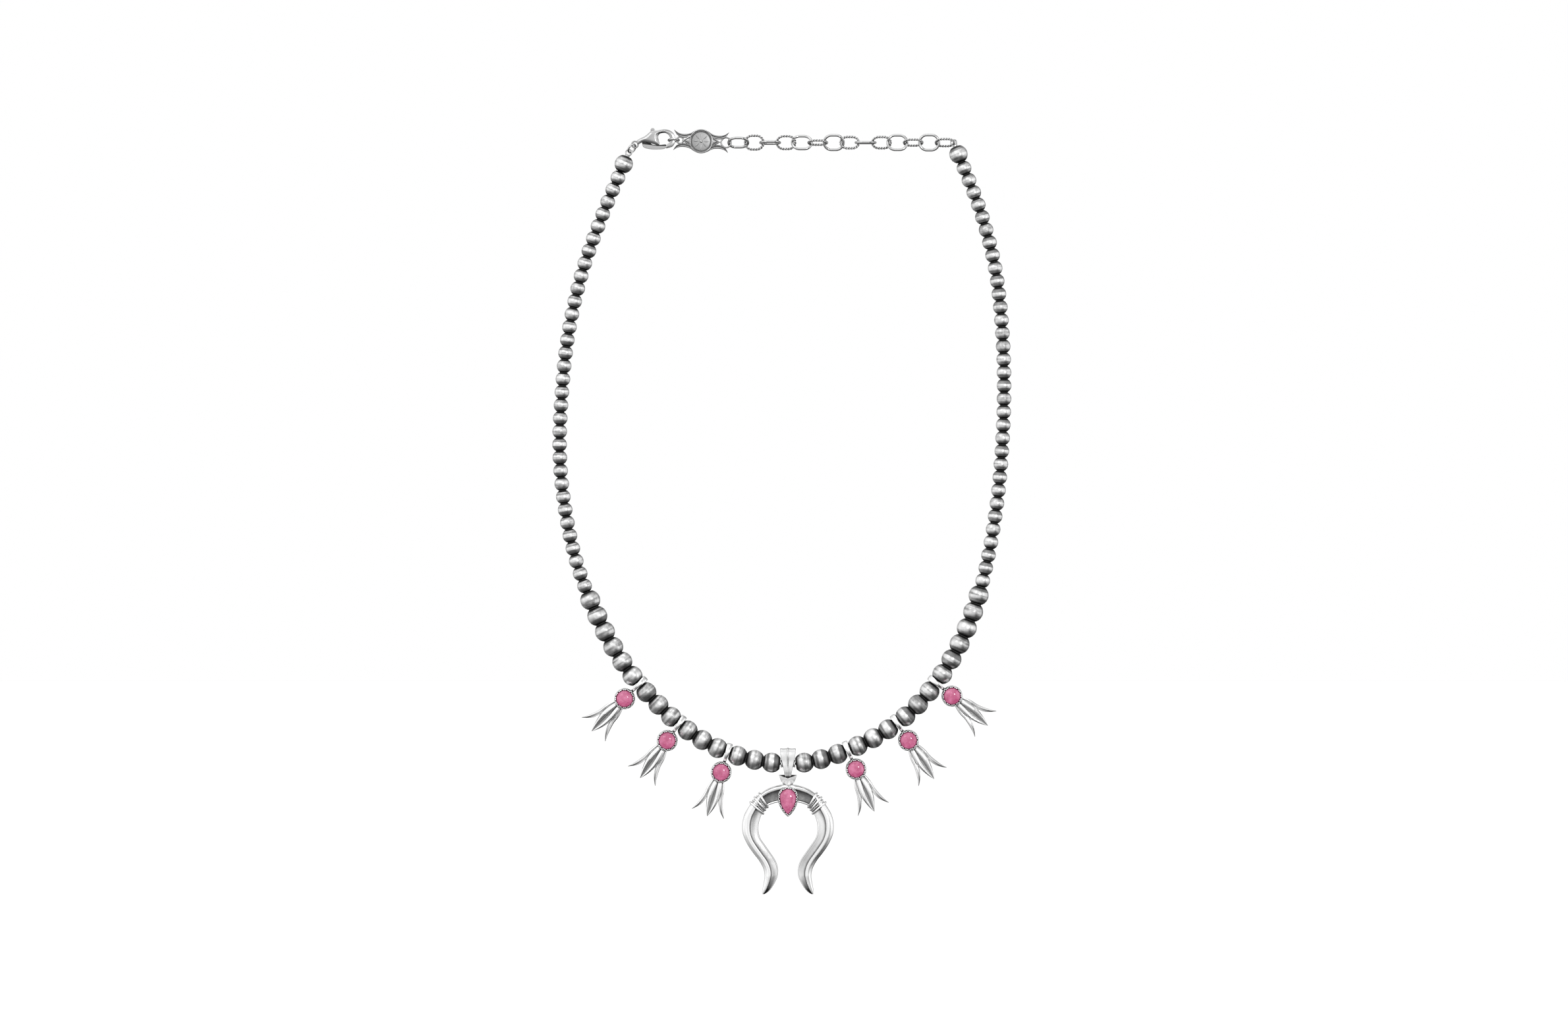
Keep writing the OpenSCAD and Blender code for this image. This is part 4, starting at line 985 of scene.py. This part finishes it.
def flat_form(name, outlines, half, rounds, cutter=None, swell=0.0):
    """A cast form from outlines in XZ: skinned as one, relaxed until its edges turn soft, half(x) thick each way.

    The cutter is an outline and a half width. With swell the form thins by that share towards its outline.
    The millimetre is the unit here, to give the remesh a grain that is fine enough.
    """
    piece = joined([slab(line, 1) for line in outlines], name)
    apply_modifier(piece, "REMESH", mode="VOXEL", voxel_size=CAST_GRAIN)
    apply_modifier(piece, "SMOOTH", factor=0.5, iterations=rounds)
    rim = kdtree.KDTree(sum(len(line) for line in outlines))
    for i, (x, z) in enumerate(p for line in outlines for p in line):
        rim.insert((x, 0, z), i)
    rim.balance()
    for v in piece.data.vertices:
        inward = min(1.0, rim.find((v.co.x, 0, v.co.z))[2] / SWELL_REACH)
        v.co.y *= half(v.co.x) * (1 - swell * (1 - inward) ** 2)
    if cutter:
        hollow = slab(*cutter)
        apply_modifier(piece, "BOOLEAN", object=hollow, operation="DIFFERENCE", solver="EXACT")
        drop(hollow)
    return piece


def shaded(piece, name, dark):
    """Paints shade on each point of a form, and brings it to the clasp's place and size."""
    if "dark" in piece.data.attributes:
        piece.data.attributes.remove(piece.data.attributes["dark"])
    shade = piece.data.attributes.new("dark", "FLOAT", "POINT")
    for item, v in zip(shade.data, piece.data.vertices):
        item.value = dark(v.co.x / CLASP_L, v.co.y, v.co.z / CLASP_L, v.normal)
    piece.data.transform(Matrix.Translation(TAIL * mm) @ Matrix.Scale(mm, 4))
    return close(piece, name, 50)


def clasp():
    top = curve(CLASP_TOP, 6)

    def half(x):
        return CLASP_T * read(top, max(0.031, min(1.019, x / CLASP_L)))

    # Painted shade in the mouth of the hook, on the walls of the slot and at its end
    def body_shade(x, y, z, normal):
        hook = 0.57 < x < 0.88 and 0.1 < z < 0.31 and (normal.z < -0.3 or normal.x > 0.5) and abs(normal.y) < 0.8
        wall = abs(y) < SLOT_HALF + 0.11 and normal.y * y < -0.3 * abs(y)
        end = abs(y) < SLOT_HALF + 0.08 and normal.z < -0.5 and x < 0.68 and 0.1 < z < 0.3
        return 0.9 if hook or wall or end else 0.0

    # Painted shade where the lever goes up into the body, above a line that falls from its tail to its gate
    def lever_shade(x, y, z, normal):
        t = max(0.0, min(1.0, (x - 0.2) / 0.37))
        return 0.9 * max(0.0, min(1.0, (z - mix(0.0, -0.045, t)) / 0.012)) if z < 0.3 else 0.0

    side, slot, gate = [[(x * CLASP_L, z * CLASP_L) for x, z in line] for line in (CLASP_SIDE, CLASP_SLOT, LEVER_SIDE)]
    body = flat_form("clasp_body", [curve(side, 12, True)], half, 14, (slot, SLOT_HALF), swell=0.32)
    pin = lofted("pin", [wheel(0.35, 20, y) for y in (-PIN_HALF, PIN_HALF)])
    move(pin, TAIL + Vector((CLASP_PIN[0], 0, CLASP_PIN[1])) * CLASP_L)
    parts = [shaded(body, "clasp_body_cast", body_shade), wire_loop("tail_loop", 0.95, TAIL), pin]
    dressed(joined(parts, "clasp_body_cast"), SATIN, "silver", "clasp_body")
    knob = [(x + LEVER_KNOB[0] * CLASP_L, z + LEVER_KNOB[1] * CLASP_L) for x, _, z in wheel(KNOB_R, 24)]
    lever = flat_form("clasp_lever", [curve(gate, 5, True), knob], lambda x: LEVER_HALF, 8)
    dressed(shaded(lever, "clasp_lever_cast", lever_shade), SATIN, "silver", "clasp_lever", body="lever")


clasp()

# ---------- tag

# How far the horns reach, where the tag's middle is and how it is turned, in degrees
TAG_REACH, TAG_X, TAG_Z, TAG_TURN = 8.3, 20.0794, 0.3, 3
RAY_X, RAY_W = 1.6, 0.2
# Middle and radius of the loops that the rings hold
TAG_LOOPS = ((-6.4, 1.0), (7.6, 1.5))
# A horn's middle line and half width, from the disc to the tip, in shares of the reach
HORN = [(0.2, 0.365, 0.025), (0.27, 0.31, 0.04), (0.34, 0.25, 0.05), (0.46, 0.2, 0.055), (0.6, 0.172, 0.064),
        (0.73, 0.18, 0.06), (0.85, 0.225, 0.045), (0.93, 0.29, 0.026), (1, 0.37, 0.006)]


def grooved(t):
    """A horn's section: two ridges with a groove between them, painted in shade, that runs out before the tip."""
    deep = mix(-0.3, -0.46, max(0.0, (t - 0.75) / 0.25))
    half = [(1, -0.05, 0), (0.9, -0.34, 0), (0.6, -0.48, 0), (0.3, -0.44, 0), (0.1, deep, 0.7)]
    return half + mirror(half) + [(-0.8, 0.4, 0), (0.8, 0.4, 0)]


def tag_point(turn):
    """Wide end of the tag: a raised border round a ridged wedge."""
    border, inner = [(3.0, 1.86), (5.89, 0), (3.0, -1.86)], [(3.36, 1.0), (5.0, 0), (3.36, -1.0)]
    ridge = [(3.45, 0.05), (4.5, 0), (3.45, -0.05)]
    # The last number of each layer is painted shade, at the foot of the border inside it
    layers = [(border, 0.45, 0), (border, -0.4, 0), (mixed(border, inner, 0.6), -0.52, 0), (inner, -0.36, 0.9),
              (mixed(inner, ridge, 0.12), -0.42, 0), (ridge, -0.58, 0)]
    piece = lofted("tag_point", [[(x * turn, y, z * turn) for x, z in line] for line, y, _ in layers],
                   dark=lambda j, i: layers[j][2], smooth=30)
    return round_edges(piece, 0.05 * mm, 2, 25)


def ray(angle):
    """One long lozenge of the generic eight-rayed pattern, standing on the tag's face."""
    rings = []
    for k, y in ((1, -0.3), (0.95, -0.48), (0.3, -0.56)):
        rings.append([(RAY_X + k * x, y, RAY_W * k * z) for x, z in ((1, 0), (0, 1), (-1, 0), (0, -1))])
    return move(lofted("ray", rings, smooth=20), (0, 0, 0), radians(angle))


def tag():
    # Each ring's last number is painted shade: in the groove inside the rim, fading towards the middle
    face = [(0.02, 0.6, 0), (3.5, 0.6, 0), (3.65, 0.45, 0), (3.65, -0.42, 0), (3.56, -0.56, 0), (3.42, -0.6, 0),
            (3.28, -0.54, 0), (3.22, -0.36, 0.95), (3.17, -0.36, 0.95), (3.13, -0.5, 0), (3.06, -0.5, 0),
            (3.01, -0.32, 0.95), (2.93, -0.3, 0.8), (2.6, -0.36, 0.15), (1.4, -0.44, 0.05), (0.02, -0.46, 0)]
    parts = [lofted("disc", [wheel(r, 64, y) for r, y, _ in face], dark=lambda j, i: face[j][2], smooth=35)]
    parts += [ray(a) for a in range(0, 360, 45)]
    boss = ((0.5, -0.3), (0.48, -0.5), (0.3, -0.6), (0.05, -0.64))
    parts.append(lofted("boss", [wheel(r, 16, y) for r, y in boss], smooth=60))
    for sx in (-1, 1):
        parts.append(tag_point(sx))
        for sz in (-1, 1):
            parts.append(leaf("horn", [(sx * a * TAG_REACH, sz * b * TAG_REACH, c * TAG_REACH * 1.12, 1.0)
                                       for a, b, c in HORN], 0, grooved))
    parts += [wire_loop("loop", r, (x, 0, 0)) for x, r in TAG_LOOPS]
    whole = move(joined(parts, "tag_dressed"), (TAIL.x + TAG_X, 0, TAG_Z), radians(TAG_TURN))
    dressed(whole, SATIN, "silver", "tag")


tag()

# ---------- twisted links

# How far each twisted link is turned round the chain, in degrees
ROLLS = (-5, 25, 75, -32, 38, 67, 62)
FIRST_LINK_X, LINK_PITCH, CHAIN_Z = 31.3594, 4.83, -0.0978
LINK_L, LINK_W, LINK_WIRE = 6.4, 5.0, 0.8
ROPE_POINTS, ROPE_TURNS, STRAND_R = 160, 10, 0.2


def oval(count, length, width, wire):
    """Points round a link's middle line, equally far apart."""
    r, straight = (width - wire) / 2, length - width
    arc = pi * r
    points = []
    for i in range(count):
        s = 2 * (straight + arc) * i / count
        end, s = (1, s) if s < straight + arc else (-1, s - straight - arc)
        if s < straight:
            points.append((end * (s - straight / 2), 0, end * r))
        else:
            a = (s - straight) / r
            points.append((end * (straight / 2 + r * sin(a)), 0, end * r * cos(a)))
    return points


def rope_shape():
    """Two round wires laid round each other along a link."""
    path = [Vector(p) for p in oval(ROPE_POINTS, LINK_L, LINK_W, LINK_WIRE)]
    parts = []
    for phase in (0, pi):
        lay = []
        for i, p in enumerate(path):
            d = (path[(i + 1) % ROPE_POINTS] - path[i - 1]).normalized()
            side, a = Vector((-d.z, 0, d.x)), 2 * pi * ROPE_TURNS * i / ROPE_POINTS + phase
            lay.append(p + side * (STRAND_R * cos(a)) + Vector((0, STRAND_R * sin(a), 0)))
        parts.append(swept("strand", lay, (0, 1, 0), round_wire(STRAND_R, 8)))
    return joined(parts, "rope_model")


def twisted_links():
    model = rope_shape()
    for k, roll in enumerate(ROLLS):
        x = TAIL.x + FIRST_LINK_X + (2 * k + 1) * LINK_PITCH
        place = seat((x, 0, CHAIN_Z), radians(roll), "X")
        dressed(copied(model, f"rope_link_{k + 1}", place), WIRE, "silver", f"twisted_link_{k + 1}")
    drop(model)


twisted_links()

# ---------- kept solids

for name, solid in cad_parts.items():
    if not solid.hide_render:
        made_of(solid, THREAD if name == "thread" else WIRE)
